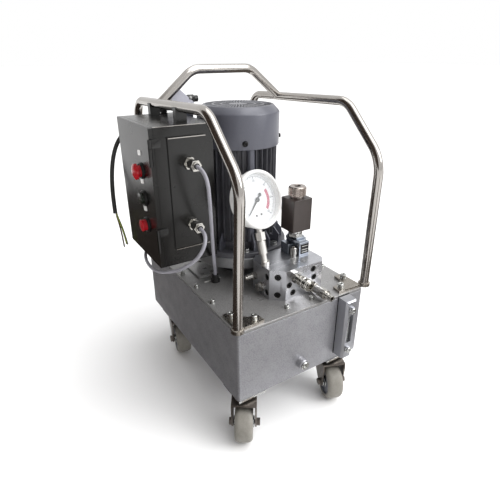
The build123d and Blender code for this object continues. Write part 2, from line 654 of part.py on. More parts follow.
def caster_fork(x, y, turn):
    """Swivel fork with its kingpin, axle bolt and nut."""
    low = AXLE_Z - 8.5
    outline = [(-21, 101.4), (41, 101.4), (43, 90), (38, low + 6), (33, low), (22, low),
               (15, low + 8), (-21, 84)]
    leg = Rot(90, 0, 0) * extrude(make_face(Polyline(*outline, close=True)), 3)
    fork = Pos(0, 24, 0) * leg + Pos(0, -21, 0) * leg + block(-21, 41, -24, 24, 97.4, 101.4)
    fork += rod(0, 0, 101.4, 6.0, 7.6) + rod(TRAIL, -28, AXLE_Z, 4.0, 56, "+Y")
    fork += hexagon(TRAIL, -24, AXLE_Z, 13, 5, "-Y") + hexagon(TRAIL, 24, AXLE_Z, 13, 6.5, "+Y")
    return Pos(x, y, 0) * Rot(0, 0, turn) * fork


def caster_wheel(x, y, turn):
    """Grey tread wheel with a recessed hub."""
    middle = Pos(TRAIL, 0, AXLE_Z) * Rot(90, 0, 0)
    wheel = fillet(Cylinder(WHEEL_R, WHEEL_W).edges().filter_by(GeomType.CIRCLE), 7)
    for side in (1, -1):
        ring = Cylinder(27, 8) - Cylinder(13, 9)
        wheel -= Pos(0, 0, side * (WHEEL_W / 2)) * ring
    wheel += Cylinder(11, HUB_W)
    wheel -= Cylinder(4.0 + FIT, HUB_W + 2)
    return Pos(x, y, 0) * Rot(0, 0, turn) * middle * wheel


# ---------------------------------------------------------------- cords

UPPER_CABLE = [(5.5, 133, 520), (6, 119, 518.5), (8, 108, 509), (10, 104, 494), (12, 106, 476),
               (15, 110, 455), (21, 121, 422), (29, 135, 388), (38, 151, 350), (47, 166, 315),
               (53, 176, 296), (54, 178, 283.6)]
LOWER_CABLE = [(5.5, 133, 409), (5, 117.5, 407.5), (1.5, 105.5, 401), (-5, 99, 389), (-14, 102, 372),
               (-24, 114.5, 355.5), (-34.5, 136, 338), (-43.5, 162, 324), (-53, 187, 313.5),
               (-61, 213, 310), (-62, 246, 312), (-54, 280, 313), (-38, 312, 314), (-14, 338, 320),
               (10, 354, 337), (25, 361, 362), (32, 362, 396), (37, 359, 440), (38, 353, 490),
               (36.5, 343, 538), (36, 341, 577)]
SUPPLY_CORD = [(-22, 349, 556), (-22.8, 367, 556), (-27, 384, 551), (-37, 396, 538), (-50.5, 398.5, 520),
               (-63.5, 389.5, 496), (-73.5, 376, 469), (-80, 364, 441), (-83, 357, 412), (-84, 353, 388)]


def level_plug():
    """Level sensor plug on the lid, where the upper cable ends."""
    return rod(54, 178, LID_TOP, 9.0, 6) + hexagon(54, 178, LID_TOP + 6, 13, 10)


def main():
    """Build and write every sub-part."""
    os.makedirs("parts", exist_ok=True)
    save("tank_shell", tank_shell())
    save("lid_plate", lid_plate())
    save("hatch_plate", hatch_plate())
    save("cap_screws", group(lid_screws() + motor_screws()))
    save("frame_brackets", group(foot_brackets() + box_brackets()))
    save("drain_plug", drain_plug())
    save("level_gauge_frame", level_gauge_frame())
    save("level_gauge_tube", level_gauge_tube())
    save("hoop_left", hoop(LEFT_FOOT_X, LEFT_TOP_X))
    save("hoop_right", hoop(RIGHT_FOOT_X, RIGHT_TOP_X))
    save("handle_bar", handle_bar())
    save("bell_housing", bell_housing())
    save("motor_flange", motor_flange())
    save("motor_housing", motor_housing())
    save("fan_cowl", fan_cowl())
    save("motor_stator", motor_stator())
    save("motor_rotor", motor_rotor())
    save("motor_fan", motor_fan())
    save("terminal_box", terminal_box())
    save("terminal_lid", terminal_lid())
    save("plastic_glands", group(terminal_glands() + [level_plug()]))
    save("coupling", coupling())
    save("pump_housing", group([pump_housing(), pump_cover()]))
    save("swash_plate", swash_plate())
    save("rotating_group", group([cylinder_block()] + pistons()))
    save("pump_shaft", pump_shaft())
    save("pump_pipes", pump_pipes())
    save("manifold_front", manifold_front())
    save("manifold_rear", manifold_rear())
    save("manifold_plugs", manifold_plugs())
    save("manifold_fittings", manifold_fittings())
    save("coupler_female", coupler_female())
    save("coupler_sleeve", coupler_sleeve())
    save("coupler_male", coupler_male())
    save("gauge_stem", gauge_stem())
    save("gauge_case", gauge_case())
    save("gauge_dial", gauge_dial())
    save("gauge_pointer", gauge_pointer())
    save("valve_body", valve_body())
    save("solenoid_coil", solenoid_coil())
    save("coil_nut", coil_nut())
    save("control_box", control_box())
    save("box_door", box_door())
    save("button_bezels", button_bezels())
    save("button_stop", button(BUTTON_Z[0], 14.0, 9.0, 8.0))
    save("button_start", button(BUTTON_Z[1], 11.0, 3.0, 7.0))
    save("button_reset", button(BUTTON_Z[2], 11.0, 4.0, 9.0))
    save("box_glands", box_glands())
    save("caster_plates", caster_plates())
    for name, (x, y, turn) in CASTERS.items():
        save(f"fork_{name}", caster_fork(x, y, turn))
        save(f"wheel_{name}", caster_wheel(x, y, turn))
    save("cable_upper", cord("cable_upper", UPPER_CABLE, CABLE_D))
    save("cable_lower", cord("cable_lower", LOWER_CABLE, CABLE_D))
    save("supply_cord", cord("supply_cord", SUPPLY_CORD, CORD_D))


main()
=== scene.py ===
"""Looks for a wheeled hydraulic power unit, seen through its motor, tank, manifold and frame."""
import json
import logging
import math
from dataclasses import dataclass, field
from enum import Enum
from typing import Any, ClassVar, Sequence

import bmesh
import bpy
from mathutils import Matrix, Vector


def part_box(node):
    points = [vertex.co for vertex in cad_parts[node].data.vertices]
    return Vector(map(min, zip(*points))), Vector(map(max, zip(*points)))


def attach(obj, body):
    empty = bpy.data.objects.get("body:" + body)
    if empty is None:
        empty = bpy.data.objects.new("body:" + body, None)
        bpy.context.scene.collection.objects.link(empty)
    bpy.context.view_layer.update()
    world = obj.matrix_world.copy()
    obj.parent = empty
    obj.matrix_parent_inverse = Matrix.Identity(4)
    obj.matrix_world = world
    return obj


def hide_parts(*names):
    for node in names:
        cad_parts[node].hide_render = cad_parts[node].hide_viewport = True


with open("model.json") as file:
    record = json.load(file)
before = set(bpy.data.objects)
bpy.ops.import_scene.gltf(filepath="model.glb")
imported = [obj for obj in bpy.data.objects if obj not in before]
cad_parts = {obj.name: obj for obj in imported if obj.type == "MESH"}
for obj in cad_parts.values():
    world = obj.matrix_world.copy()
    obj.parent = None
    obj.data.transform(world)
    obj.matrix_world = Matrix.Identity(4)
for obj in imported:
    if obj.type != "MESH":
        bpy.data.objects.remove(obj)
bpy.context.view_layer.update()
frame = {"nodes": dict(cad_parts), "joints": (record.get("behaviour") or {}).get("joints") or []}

LOG = logging.getLogger("power_unit")
MM = 0.001
UP = Vector((0.0, 0.0, 1.0))
AHEAD = Vector((0.0, -1.0, 0.0))
LEFT = Vector((-1.0, 0.0, 0.0))


# ---------------------------------------------------------------- finishes

def colour(code: str) -> tuple[float, float, float, float]:
    """Turn an sRGB hex code into a linear colour.

    Args:
        code: six hex digits after a hash sign.

    Returns:
        Linear red, green, blue and an alpha of one.
    """
    parts = [int(code[i:i + 2], 16) / 255 for i in (1, 3, 5)]
    linear = [p / 12.92 if p <= 0.04045 else ((p + 0.055) / 1.055) ** 2.4 for p in parts]
    return (linear[0], linear[1], linear[2], 1.0)


def add(tree: bpy.types.NodeTree, kind: str, inputs: dict[Any, Any] | None = None,
        **settings: Any) -> bpy.types.Node:
    """Add one node to a tree with its settings, values and links.

    Args:
        tree: the node tree.
        kind: the node's type name.
        inputs: values or output sockets for the node's inputs, by name or number.
        settings: the node's own properties.

    Returns:
        The new node.
    """
    node = tree.nodes.new(kind)
    for name, value in settings.items():
        setattr(node, name, value)
    for key, value in (inputs or {}).items():
        if isinstance(value, bpy.types.NodeSocket):
            tree.links.new(value, node.inputs[key])
        else:
            node.inputs[key].default_value = value
    return node


class Relief(Enum):
    """How a finish's fine relief is laid out."""

    PEEL = "orange peel of sprayed paint"
    HAMMER = "hammered metallic flake"
    BRUSH = "lines from brushing or milling"
    CAST = "grains of a casting"


@dataclass(frozen=True)
class Finish:
    """One real finish: a named material, what it gives the eye, and its pattern at a real size."""

    name: str
    base: str
    shade: str
    metallic: float = 0.0
    roughness: float = 0.36
    uneven: float = 0.08
    ior: float = 1.5
    coat: float = 0.0
    relief: Relief = Relief.CAST
    grain_mm: float = 1.0
    depth_mm: float = 0.006
    patch_mm: float = 6
    shade_share: float = 0.6
    lay: tuple[float, float, float] = (1.0, 1.0, 1.0)
    alpha: float = 1.0
    clear: float = 0.0

    made: ClassVar[dict[str, bpy.types.Material]] = {}

    def material(self) -> bpy.types.Material:
        """Make the finish's material, once.

        Returns:
            The Blender material with this finish's name.
        """
        if self.name in Finish.made:
            return Finish.made[self.name]
        made = bpy.data.materials.new(self.name)
        made.use_nodes = True
        tree = made.node_tree
        tree.nodes.clear()
        place = add(tree, "ShaderNodeTexCoord").outputs["Object"]
        fine = add(tree, "ShaderNodeMapping", {"Vector": place,
                                               "Scale": self.lay}).outputs["Vector"]
        height = self.grain(tree, fine)
        patch = add(tree, "ShaderNodeTexNoise", {"Vector": fine, "Scale": 1 / (self.patch_mm * MM),
                                                 "Detail": 4.0, "Roughness": 0.6}).outputs["Fac"]
        mottle = add(tree, "ShaderNodeMath", {0: patch, 1: height}, operation="MULTIPLY").outputs[0]
        share = add(tree, "ShaderNodeMapRange", {
            "Value": mottle, "From Min": 0.12, "From Max": 0.42, "To Min": 0.0,
            "To Max": self.shade_share}).outputs["Result"]
        tints = {"Factor": share, 6: colour(self.base), 7: colour(self.shade)}
        tone = add(tree, "ShaderNodeMix", tints, data_type="RGBA").outputs[2]
        rough = add(tree, "ShaderNodeMapRange", {
            "Value": patch, "From Min": 0.3, "From Max": 0.7,
            "To Min": max(0.02, self.roughness - self.uneven),
            "To Max": min(1.0, self.roughness + self.uneven)}).outputs["Result"]
        bump = add(tree, "ShaderNodeBump", {"Height": height, "Distance": self.depth_mm * MM,
                                            "Strength": 1.0})
        shader = add(tree, "ShaderNodeBsdfPrincipled", {
            "Base Color": tone, "Roughness": rough, "Normal": bump.outputs["Normal"],
            "Metallic": self.metallic, "IOR": self.ior, "Coat Weight": self.coat,
            "Coat Roughness": 0.08, "Alpha": self.alpha, "Transmission Weight": self.clear})
        add(tree, "ShaderNodeOutputMaterial", {"Surface": shader.outputs["BSDF"]})
        Finish.made[self.name] = made
        return made

    def grain(self, tree: bpy.types.NodeTree, place: bpy.types.NodeSocket) -> bpy.types.NodeSocket:
        """Add the finish's fine relief.

        Args:
            tree: the material's tree.
            place: the stretched object coordinates.

        Returns:
            The relief's height, from 0 to 1.
        """
        scale = 1 / (self.grain_mm * MM)
        if self.relief is Relief.HAMMER:
            cells = add(tree, "ShaderNodeTexVoronoi",
                        {"Vector": place, "Scale": scale, "Randomness": 1.0})
            return cells.outputs["Distance"]
        detail = {Relief.PEEL: 1.0, Relief.BRUSH: 3.0, Relief.CAST: 6.0}[self.relief]
        return add(tree, "ShaderNodeTexNoise", {"Vector": place, "Scale": scale, "Detail": detail,
                                                "Roughness": 0.55}).outputs["Fac"]


# Metallic hammer enamel: flakes two millimetres across that glitter, with a soft uneven sheen.
TANK_ENAMEL = Finish("hammered silver enamel", "#a4a4a8", "#8a8a8f", metallic=0.6, uneven=0.06,
                     relief=Relief.HAMMER, grain_mm=2.2, depth_mm=0.2, patch_mm=30, shade_share=0.8)
# The same enamel on the lid, smoother and a little darker, with large soft darker patches.
LID_ENAMEL = Finish("oily satin lid enamel", "#a09f9f", "#807f7e", metallic=0.5, roughness=0.34,
                    uneven=0.1, relief=Relief.HAMMER, grain_mm=1.6, depth_mm=0.03, patch_mm=70,
                    shade_share=0.9)
# Stainless tube, belt polished along its length: mirror-like with faint lengthwise lines.
POLISHED_TUBE = Finish("polished stainless tube", "#b3afab", "#98938d", metallic=1.0,
                       roughness=0.15, uneven=0.05, relief=Relief.BRUSH, grain_mm=1.2,
                       depth_mm=0.004, patch_mm=90)
# Weld metal and passivated plate of the feet: duller and lumpier than the tube.
WELD_STEEL = Finish("tumbled stainless weld", "#a8a39c", "#7c766e", metallic=1.0, roughness=0.28,
                    uneven=0.1, grain_mm=1.5, depth_mm=0.06, patch_mm=8, shade_share=0.8)
# Bright zinc on steel: pale, slightly milky reflection.
ZINC = Finish("bright zinc plate", "#c9cac8", "#a3a39f", metallic=1.0, roughness=0.27, grain_mm=1.2,
              depth_mm=0.012, patch_mm=14)
# Older zinc on pressed forks: brown-grey and dull, with handling marks.
FORK_ZINC = Finish("dull zinc pressing", "#78716b", "#5b5550", metallic=0.9, roughness=0.38,
                   uneven=0.1, grain_mm=2.0, depth_mm=0.02, patch_mm=18, shade_share=0.8)
# Sprayed slate enamel on sheet steel: an even half gloss with slight orange peel.
COWL_PAINT = Finish("slate enamel on sheet", "#565760", "#4b4c55", metallic=0.15, uneven=0.05,
                    coat=0.15, relief=Relief.PEEL, grain_mm=2.2, depth_mm=0.015, patch_mm=80,
                    shade_share=0.5)
# The same enamel on a casting: the sand's grain shows through, and it is mottled darker than on the
# sheet.
CAST_PAINT = Finish("slate enamel on casting", "#55555a", "#3b3b40", metallic=0.1, roughness=0.45,
                    grain_mm=1.4, depth_mm=0.05, patch_mm=35, shade_share=0.8)
# Sand-cast aluminium flange, bead blasted: pale and matt.
CAST_ALLOY = Finish("bead blasted cast aluminium", "#9d9ea0", "#7d7e80", metallic=0.85,
                    roughness=0.48, grain_mm=1.1, depth_mm=0.03, patch_mm=25, shade_share=0.7)
# Milled aluminium block, clear anodised: fine cutter lines along X under a cool satin film.
MILLED_ALLOY = Finish("clear anodised milled aluminium", "#c3c4c9", "#a4a5aa", metallic=0.92,
                      roughness=0.3, uneven=0.06, relief=Relief.BRUSH, grain_mm=0.8, patch_mm=22,
                      lay=(0.12, 1.0, 1.0))
# Extruded aluminium, satin anodised: lines run up the profile.
DRAWN_ALLOY = Finish("satin anodised extrusion", "#aaabb0", "#909196", metallic=0.8, uneven=0.05,
                     relief=Relief.BRUSH, grain_mm=0.8, patch_mm=20, lay=(1.0, 1.0, 0.1))
# Bright nickel on turned brass: a neutral mirror with turning marks.
NICKEL = Finish("bright nickel plate", "#bdbbb6", "#94918b", metallic=1.0, roughness=0.17,
                uneven=0.06, relief=Relief.BRUSH, grain_mm=0.9, depth_mm=0.004, patch_mm=9,
                shade_share=0.5)
# Nickel champagne finish of the knurled nut, a little duller.
SATIN_NICKEL = Finish("satin champagne nickel", "#b5aca6", "#8d837c", metallic=1.0, roughness=0.27,
                      uneven=0.07, relief=Relief.BRUSH, grain_mm=0.9, depth_mm=0.008, patch_mm=9)
# Black oxide on steel: nearly black with a thin oily gloss.
BLACK_OXIDE = Finish("black oxide steel", "#1b1b1c", "#2b2a29", metallic=0.6, depth_mm=0.01,
                     shade_share=0.5)
# Blue-white zinc on the valve's faceted body.
BLUE_ZINC = Finish("blue passivated zinc", "#a3a9b2", "#868c95", metallic=0.95, roughness=0.32,
                   grain_mm=1.4, depth_mm=0.01, patch_mm=12)
# Satin bright nickel of the gauge's snubber: nearly white, with a broad soft gleam.
BRIGHT_NICKEL = Finish("satin bright nickel", "#e6e4e0", "#d2cfca", metallic=0.95, uneven=0.06,
                       relief=Relief.BRUSH, grain_mm=0.8, depth_mm=0.004, patch_mm=10,
                       lay=(0.2, 1.0, 1.0))
# Ground shafts and pump parts inside: bright, cross-hatched by grinding.
GROUND_STEEL = Finish("ground steel", "#a5a5a4", "#7d7d7c", metallic=1.0, roughness=0.24,
                      relief=Relief.BRUSH, grain_mm=0.8, patch_mm=15, lay=(1.0, 1.0, 0.2))
# Bare grey iron: dark, grainy, hardly shiny.
GREY_IRON = Finish("grey cast iron", "#555452", "#3e3d3b", metallic=0.7, roughness=0.55, uneven=0.1,
                   grain_mm=1.2, depth_mm=0.05, patch_mm=20, shade_share=0.8)
# Glass-filled nylon of the coil: very dark brown, satin, faint mould grain.
COIL_NYLON = Finish("glass filled nylon", "#3a312e", "#2c2624", uneven=0.07, depth_mm=0.012,
                    patch_mm=18, shade_share=0.7)
# Black gloss enamel on sheet steel: deep black that mirrors the room softly.
BOX_ENAMEL = Finish("black gloss enamel", "#0b0a09", "#12110f", roughness=0.26, uneven=0.02,
                    relief=Relief.PEEL, grain_mm=3.0, patch_mm=70, shade_share=0.7)
# Moulded black nylon of plastic glands and the fan.
BLACK_NYLON = Finish("moulded black nylon", "#161616", "#242424", roughness=0.42, grain_mm=0.9,
                     depth_mm=0.015, patch_mm=9)
# Red acetal push button: saturated and glossy.
RED_ACETAL = Finish("red acetal", "#b51521", "#8c0f19", roughness=0.22, uneven=0.06, coat=0.3,
                    relief=Relief.PEEL, grain_mm=1.5, patch_mm=8, shade_share=0.5)
# Dark green-black acetal of the middle button.
DARK_ACETAL = Finish("dark acetal", "#1d241d", "#141814", roughness=0.26, uneven=0.06, coat=0.2,
                     relief=Relief.PEEL, grain_mm=1.5, patch_mm=8, shade_share=0.5)
# Pale lilac-grey enamel of the terminal cover, slightly dusty.
LILAC_ENAMEL = Finish("pale grey cover enamel", "#c9c9d4", "#b3b3bf", roughness=0.42, uneven=0.06,
                      relief=Relief.PEEL, grain_mm=1.8, depth_mm=0.01, patch_mm=25, shade_share=0.5)
# White stove enamel of the gauge's case and bezel.
WHITE_ENAMEL = Finish("white stove enamel", "#f1f1ef", "#dfdfdc", roughness=0.26, uneven=0.05,
                      coat=0.2, relief=Relief.PEEL, grain_mm=2.0, patch_mm=30, shade_share=0.5)
# Printed aluminium dial: flat white.
DIAL_WHITE = Finish("matt white dial print", "#dddee0", "#d2d3d5", roughness=0.55, uneven=0.04,
                    relief=Relief.PEEL, depth_mm=0.002, patch_mm=18, shade_share=0.5)
# Screen inks on the dial: grey scale and a faded crimson band.
DIAL_GREY = Finish("grey dial ink", "#5b6068", "#4c5158", roughness=0.6, relief=Relief.PEEL,
                   depth_mm=0.001, patch_mm=5, shade_share=0.4)
DIAL_RED = Finish("crimson dial ink", "#b04a62", "#9c3c54", roughness=0.6, relief=Relief.PEEL,
                  depth_mm=0.001, shade_share=0.4)
# Acrylic window: nearly invisible, with a soft gloss.
CLEAR_ACRYLIC = Finish("clear acrylic", "#f3f6f7", "#e8eef0", roughness=0.06, uneven=0.02, ior=1.49,
                       relief=Relief.PEEL, grain_mm=4.0, depth_mm=0.001, patch_mm=30,
                       shade_share=0.3, alpha=0.1)
# Sight tube: clear plastic with oil behind it, so dark amber.
OIL = Finish("hydraulic oil behind clear plastic", "#3b3834", "#292622", roughness=0.1, uneven=0.04,
             coat=0.6, relief=Relief.PEEL, grain_mm=3.0, depth_mm=0.002, patch_mm=12)
# Grey thermoplastic rubber tread: dusty, slightly brown, scuffed round the rim.
TREAD = Finish("grey thermoplastic rubber", "#8d8a83", "#77736b", roughness=0.62, uneven=0.1,
               grain_mm=1.4, depth_mm=0.03, patch_mm=14, shade_share=0.8)
# Polypropylene wheel centre: a darker slate grey than the tread.
WHEEL_CORE = Finish("grey polypropylene", "#7b7d86", "#62646c", roughness=0.45, grain_mm=1.1,
                    depth_mm=0.015, patch_mm=9, shade_share=0.7)
# Cable sheaths: lilac-grey PVC with a waxy sheen, and duller black rubber.
GREY_SHEATH = Finish("grey PVC sheath", "#9c9ba3", "#86858d", roughness=0.44, uneven=0.07,
                     grain_mm=1.5, depth_mm=0.02, patch_mm=25)
BLACK_SHEATH = Finish("black rubber sheath", "#1c1c1b", "#2a2a28", roughness=0.52, grain_mm=1.2,
                      depth_mm=0.025, patch_mm=20)
# Core insulation: glossy PVC in the usual wiring colours.
CORE_GREEN = Finish("yellow-green core PVC", "#8e8f2e", "#4b6b2a", roughness=0.38, grain_mm=2.0,
                    depth_mm=0.005, shade_share=1.0)
CORE_BROWN = Finish("brown core PVC", "#4a3320", "#38261a", roughness=0.38, grain_mm=2.0,
                    depth_mm=0.005, shade_share=0.4)
CORE_GREY = Finish("grey core PVC", "#77736c", "#64605a", roughness=0.38, grain_mm=2.0,
                   depth_mm=0.005, shade_share=0.4)
# Legend plates: engraved aluminium, pale and satin.
LEGEND_PLATE = Finish("satin legend plate", "#d3d3cf", "#b9b9b4", metallic=0.5, roughness=0.35,
                      relief=Relief.BRUSH, grain_mm=0.8, depth_mm=0.005, shade_share=0.4,
                      lay=(1.0, 0.15, 1.0))
# Nitrile rubber: matt black of seals, gaskets and gland inserts.
NITRILE = Finish("black nitrile rubber", "#131313", "#1e1e1e", roughness=0.7, depth_mm=0.02,
                 shade_share=0.4)


# ---------------------------------------------------------------- making meshes

def upright(point: Sequence[float]) -> Matrix:
    """Return a place over a point of the plan, with heights counted from the floor."""
    return Matrix.Translation((point[0], point[1], 0.0))


def looking(point: Sequence[float], way: Sequence[float]) -> Matrix:
    """Return a place whose own +Z points one way.

    Args:
        point: the place's origin, in metres.
        way: the direction of its own +Z.

    Returns:
        The place's matrix.
    """
    turn = Vector(way).to_track_quat("Z", "Y").to_matrix().to_4x4()
    return Matrix.Translation(Vector(point)) @ turn


def middle(node: str) -> Vector:
    """Return the centre of a CAD node's box."""
    low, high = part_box(node)
    return (low + high) / 2


def box_mm(node: str) -> tuple[Vector, Vector]:
    """Return a CAD node's lowest and highest corner, in millimetres."""
    low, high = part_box(node)
    return low / MM, high / MM


def linked(name: str, data: bpy.types.ID) -> bpy.types.Object:
    """Make an object from its data and link it to the scene.

    Args:
        name: the object's name.
        data: its mesh, curve, light or camera.

    Returns:
        The new object.
    """
    made = bpy.data.objects.new(name, data)
    bpy.context.scene.collection.objects.link(made)
    return made


def joint_place(name: str) -> tuple[Vector, Vector]:
    """Return a joint's point and axis, from the record."""
    joint = next(j for j in frame["joints"] if j["name"] == name)
    return Vector(joint["pos_m"]), Vector(joint["axis"]).normalized()


def polygon(sides: int, across: float, turn: float = 0.0) -> list[tuple[float, float]]:
    """Set out a regular polygon about the origin.

    Args:
        sides: the number of sides.
        across: the width across its flats.
        turn: the first corner's angle, in radians.

    Returns:
        The corners in order.
    """
    reach = across / 2 / math.cos(math.pi / sides)
    return [(reach * math.cos(turn + 2 * math.pi * k / sides),
             reach * math.sin(turn + 2 * math.pi * k / sides))
            for k in range(sides)]


class Blank:
    """A mesh being made, in millimetres in its own place."""

    def __init__(self, place: Matrix | None = None) -> None:
        """Start an empty mesh.

        Args:
            place: where the mesh's own origin and axes are, or None for the frame's.
        """
        self.mesh = bmesh.new()
        self.place = place or Matrix.Identity(4)

    def point(self, x: float, y: float, z: float, own: Matrix) -> bmesh.types.BMVert:
        """Add and return one vertex, given in millimetres in a place of its own."""
        return self.mesh.verts.new(self.place @ own @ Vector((x * MM, y * MM, z * MM)))

    def turned(self, profile: Sequence[tuple[float, float]], steps: int = 64,
               own: Matrix | None = None, ring: bool = False) -> "Blank":
        """Turn a profile of radius and height about +Z.

        Args:
            profile: the points, each a radius and a height.
            steps: the number of steps round the axis.
            own: a place inside the blank's place.
            ring: whether the last point joins the first.

        Returns:
            The blank itself.
        """
        own = own or Matrix.Identity(4)
        loops = []
        for radius, height in profile:
            if radius < 1e-6:
                loops.append([self.point(0, 0, height, own)])
            else:
                loops.append([self.point(radius * math.cos(2 * math.pi * k / steps),
                                         radius * math.sin(2 * math.pi * k / steps), height, own)
                              for k in range(steps)])
        pairs = list(zip(loops, loops[1:])) + ([(loops[-1], loops[0])] if ring else [])
        for low, high in pairs:
            for k in range(steps):
                corners = [low[k % len(low)], low[(k + 1) % len(low)], high[(k + 1) % len(high)],
                           high[k % len(high)]]
                corners = list(dict.fromkeys(corners))
                if len(corners) > 2:
                    self.mesh.faces.new(corners)
        return self

    def extruded(self, outline: Sequence[tuple[float, float]], low: float, high: float,
                 own: Matrix | None = None) -> "Blank":
        """Raise a plan outline between two heights.

        Args:
            outline: the corners in order.
            low: the lower height.
            high: the upper height.
            own: a place inside the blank's place.

        Returns:
            The blank itself.
        """
        own = own or Matrix.Identity(4)
        floor = [self.point(x, y, low, own) for x, y in outline]
        roof = [self.point(x, y, high, own) for x, y in outline]
        self.mesh.faces.new(floor[::-1])
        self.mesh.faces.new(roof)
        for k in range(len(outline)):
            after = (k + 1) % len(outline)
            self.mesh.faces.new([floor[k], floor[after], roof[after], roof[k]])
        return self

    def slab(self, low: Sequence[float], high: Sequence[float],
             own: Matrix | None = None) -> "Blank":
        """Add a block between two corners, in millimetres, and return the blank."""
        outline = [(low[0], low[1]), (high[0], low[1]), (high[0], high[1]), (low[0], high[1])]
        return self.extruded(outline, low[2], high[2], own)

    def object(self, name: str) -> bpy.types.Object:
        """Turn the blank into an object that is still outside the model.

        Args:
            name: the object's name.

        Returns:
            The new object, linked to the scene.
        """
        bmesh.ops.remove_doubles(self.mesh, verts=self.mesh.verts, dist=1e-6)
        bmesh.ops.recalc_face_normals(self.mesh, faces=self.mesh.faces)
        data = bpy.data.meshes.new(name)
        self.mesh.to_mesh(data)
        self.mesh.free()
        return linked(name, data)


@dataclass
class Fitting:
    """Where a finished piece belongs: its finish, body, slot and the CAD nodes it stands for."""

    finish: Finish
    body: str = "base"
    slot: str = ""
    stands_for: tuple[str, ...] = ()
    edge_mm: float = 0.0
    smooth_deg: float = 32.0

    def fit(self, piece: bpy.types.Object) -> bpy.types.Object:
        """Dress a piece and put it on its body.

        Args:
            piece: a mesh object with its place in its mesh.

        Returns:
            The same object.
        """
        data = piece.data
        data.materials.clear()
        data.materials.append(self.finish.material())
        data.shade_smooth()
        data.set_sharp_from_angle(angle=math.radians(self.smooth_deg))
        if self.edge_mm:
            bevel = piece.modifiers.new("eased edges", "BEVEL")
            bevel.width = self.edge_mm * MM
            bevel.segments = 2
            bevel.limit_method = "ANGLE"
            bevel.angle_limit = math.radians(35)
            bevel.harden_normals = True
        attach(piece, self.body)
        if self.stands_for:
            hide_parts(*self.stands_for)
        LOG.info("%s on %s, %d faces", piece.name, self.body, len(data.polygons))
        return piece


def dress(node: str, finish: Finish) -> None:
    """Give a CAD node's own mesh a finish."""
    part = frame["nodes"][node]
    part.data.materials.clear()
    part.data.materials.append(finish.material())


def eased(node: str, name: str, fitting: Fitting) -> bpy.types.Object:
    """Make a piece from a merged copy of a CAD node, so that its edges can be rounded.

    Args:
        node: the CAD node to copy.
        name: the new piece's name.
        fitting: its finish and body; it stands for the node.

    Returns:
        The new piece.
    """
    mesh = bmesh.new()
    mesh.from_mesh(frame["nodes"][node].data)
    bmesh.ops.remove_doubles(mesh, verts=mesh.verts, dist=2e-6)
    bmesh.ops.dissolve_limit(mesh, angle_limit=math.radians(0.6), verts=mesh.verts,
                             edges=mesh.edges)
    data = bpy.data.meshes.new(name)
    mesh.to_mesh(data)
    mesh.free()
    data.update()
    fitting.stands_for = fitting.stands_for + (node,)
    return fitting.fit(linked(name, data))


def islands(node: str) -> list[tuple[Vector, Vector]]:
    """Find the separate solids of a CAD node.

    Args:
        node: the CAD node.

    Returns:
        The lowest and highest corner of each solid, from left to right.
    """
    mesh = bmesh.new()
    mesh.from_mesh(frame["nodes"][node].data)
    bmesh.ops.remove_doubles(mesh, verts=mesh.verts, dist=2e-6)
    found, seen = [], set()
    for start in mesh.verts:
        if start in seen:
            continue
        stack, points = [start], []
        seen.add(start)
        while stack:
            vert = stack.pop()
            points.append(vert.co.copy())
            for edge in vert.link_edges:
                other = edge.other_vert(vert)
                if other not in seen:
                    seen.add(other)
                    stack.append(other)
        low = Vector([min(p[i] for p in points) for i in range(3)])
        high = Vector([max(p[i] for p in points) for i in range(3)])
        found.append((low, high))
    mesh.free()
    return sorted(found, key=lambda pair: tuple(round(c, 4) for c in pair[0]))


# ---------------------------------------------------------------- geometry node trees

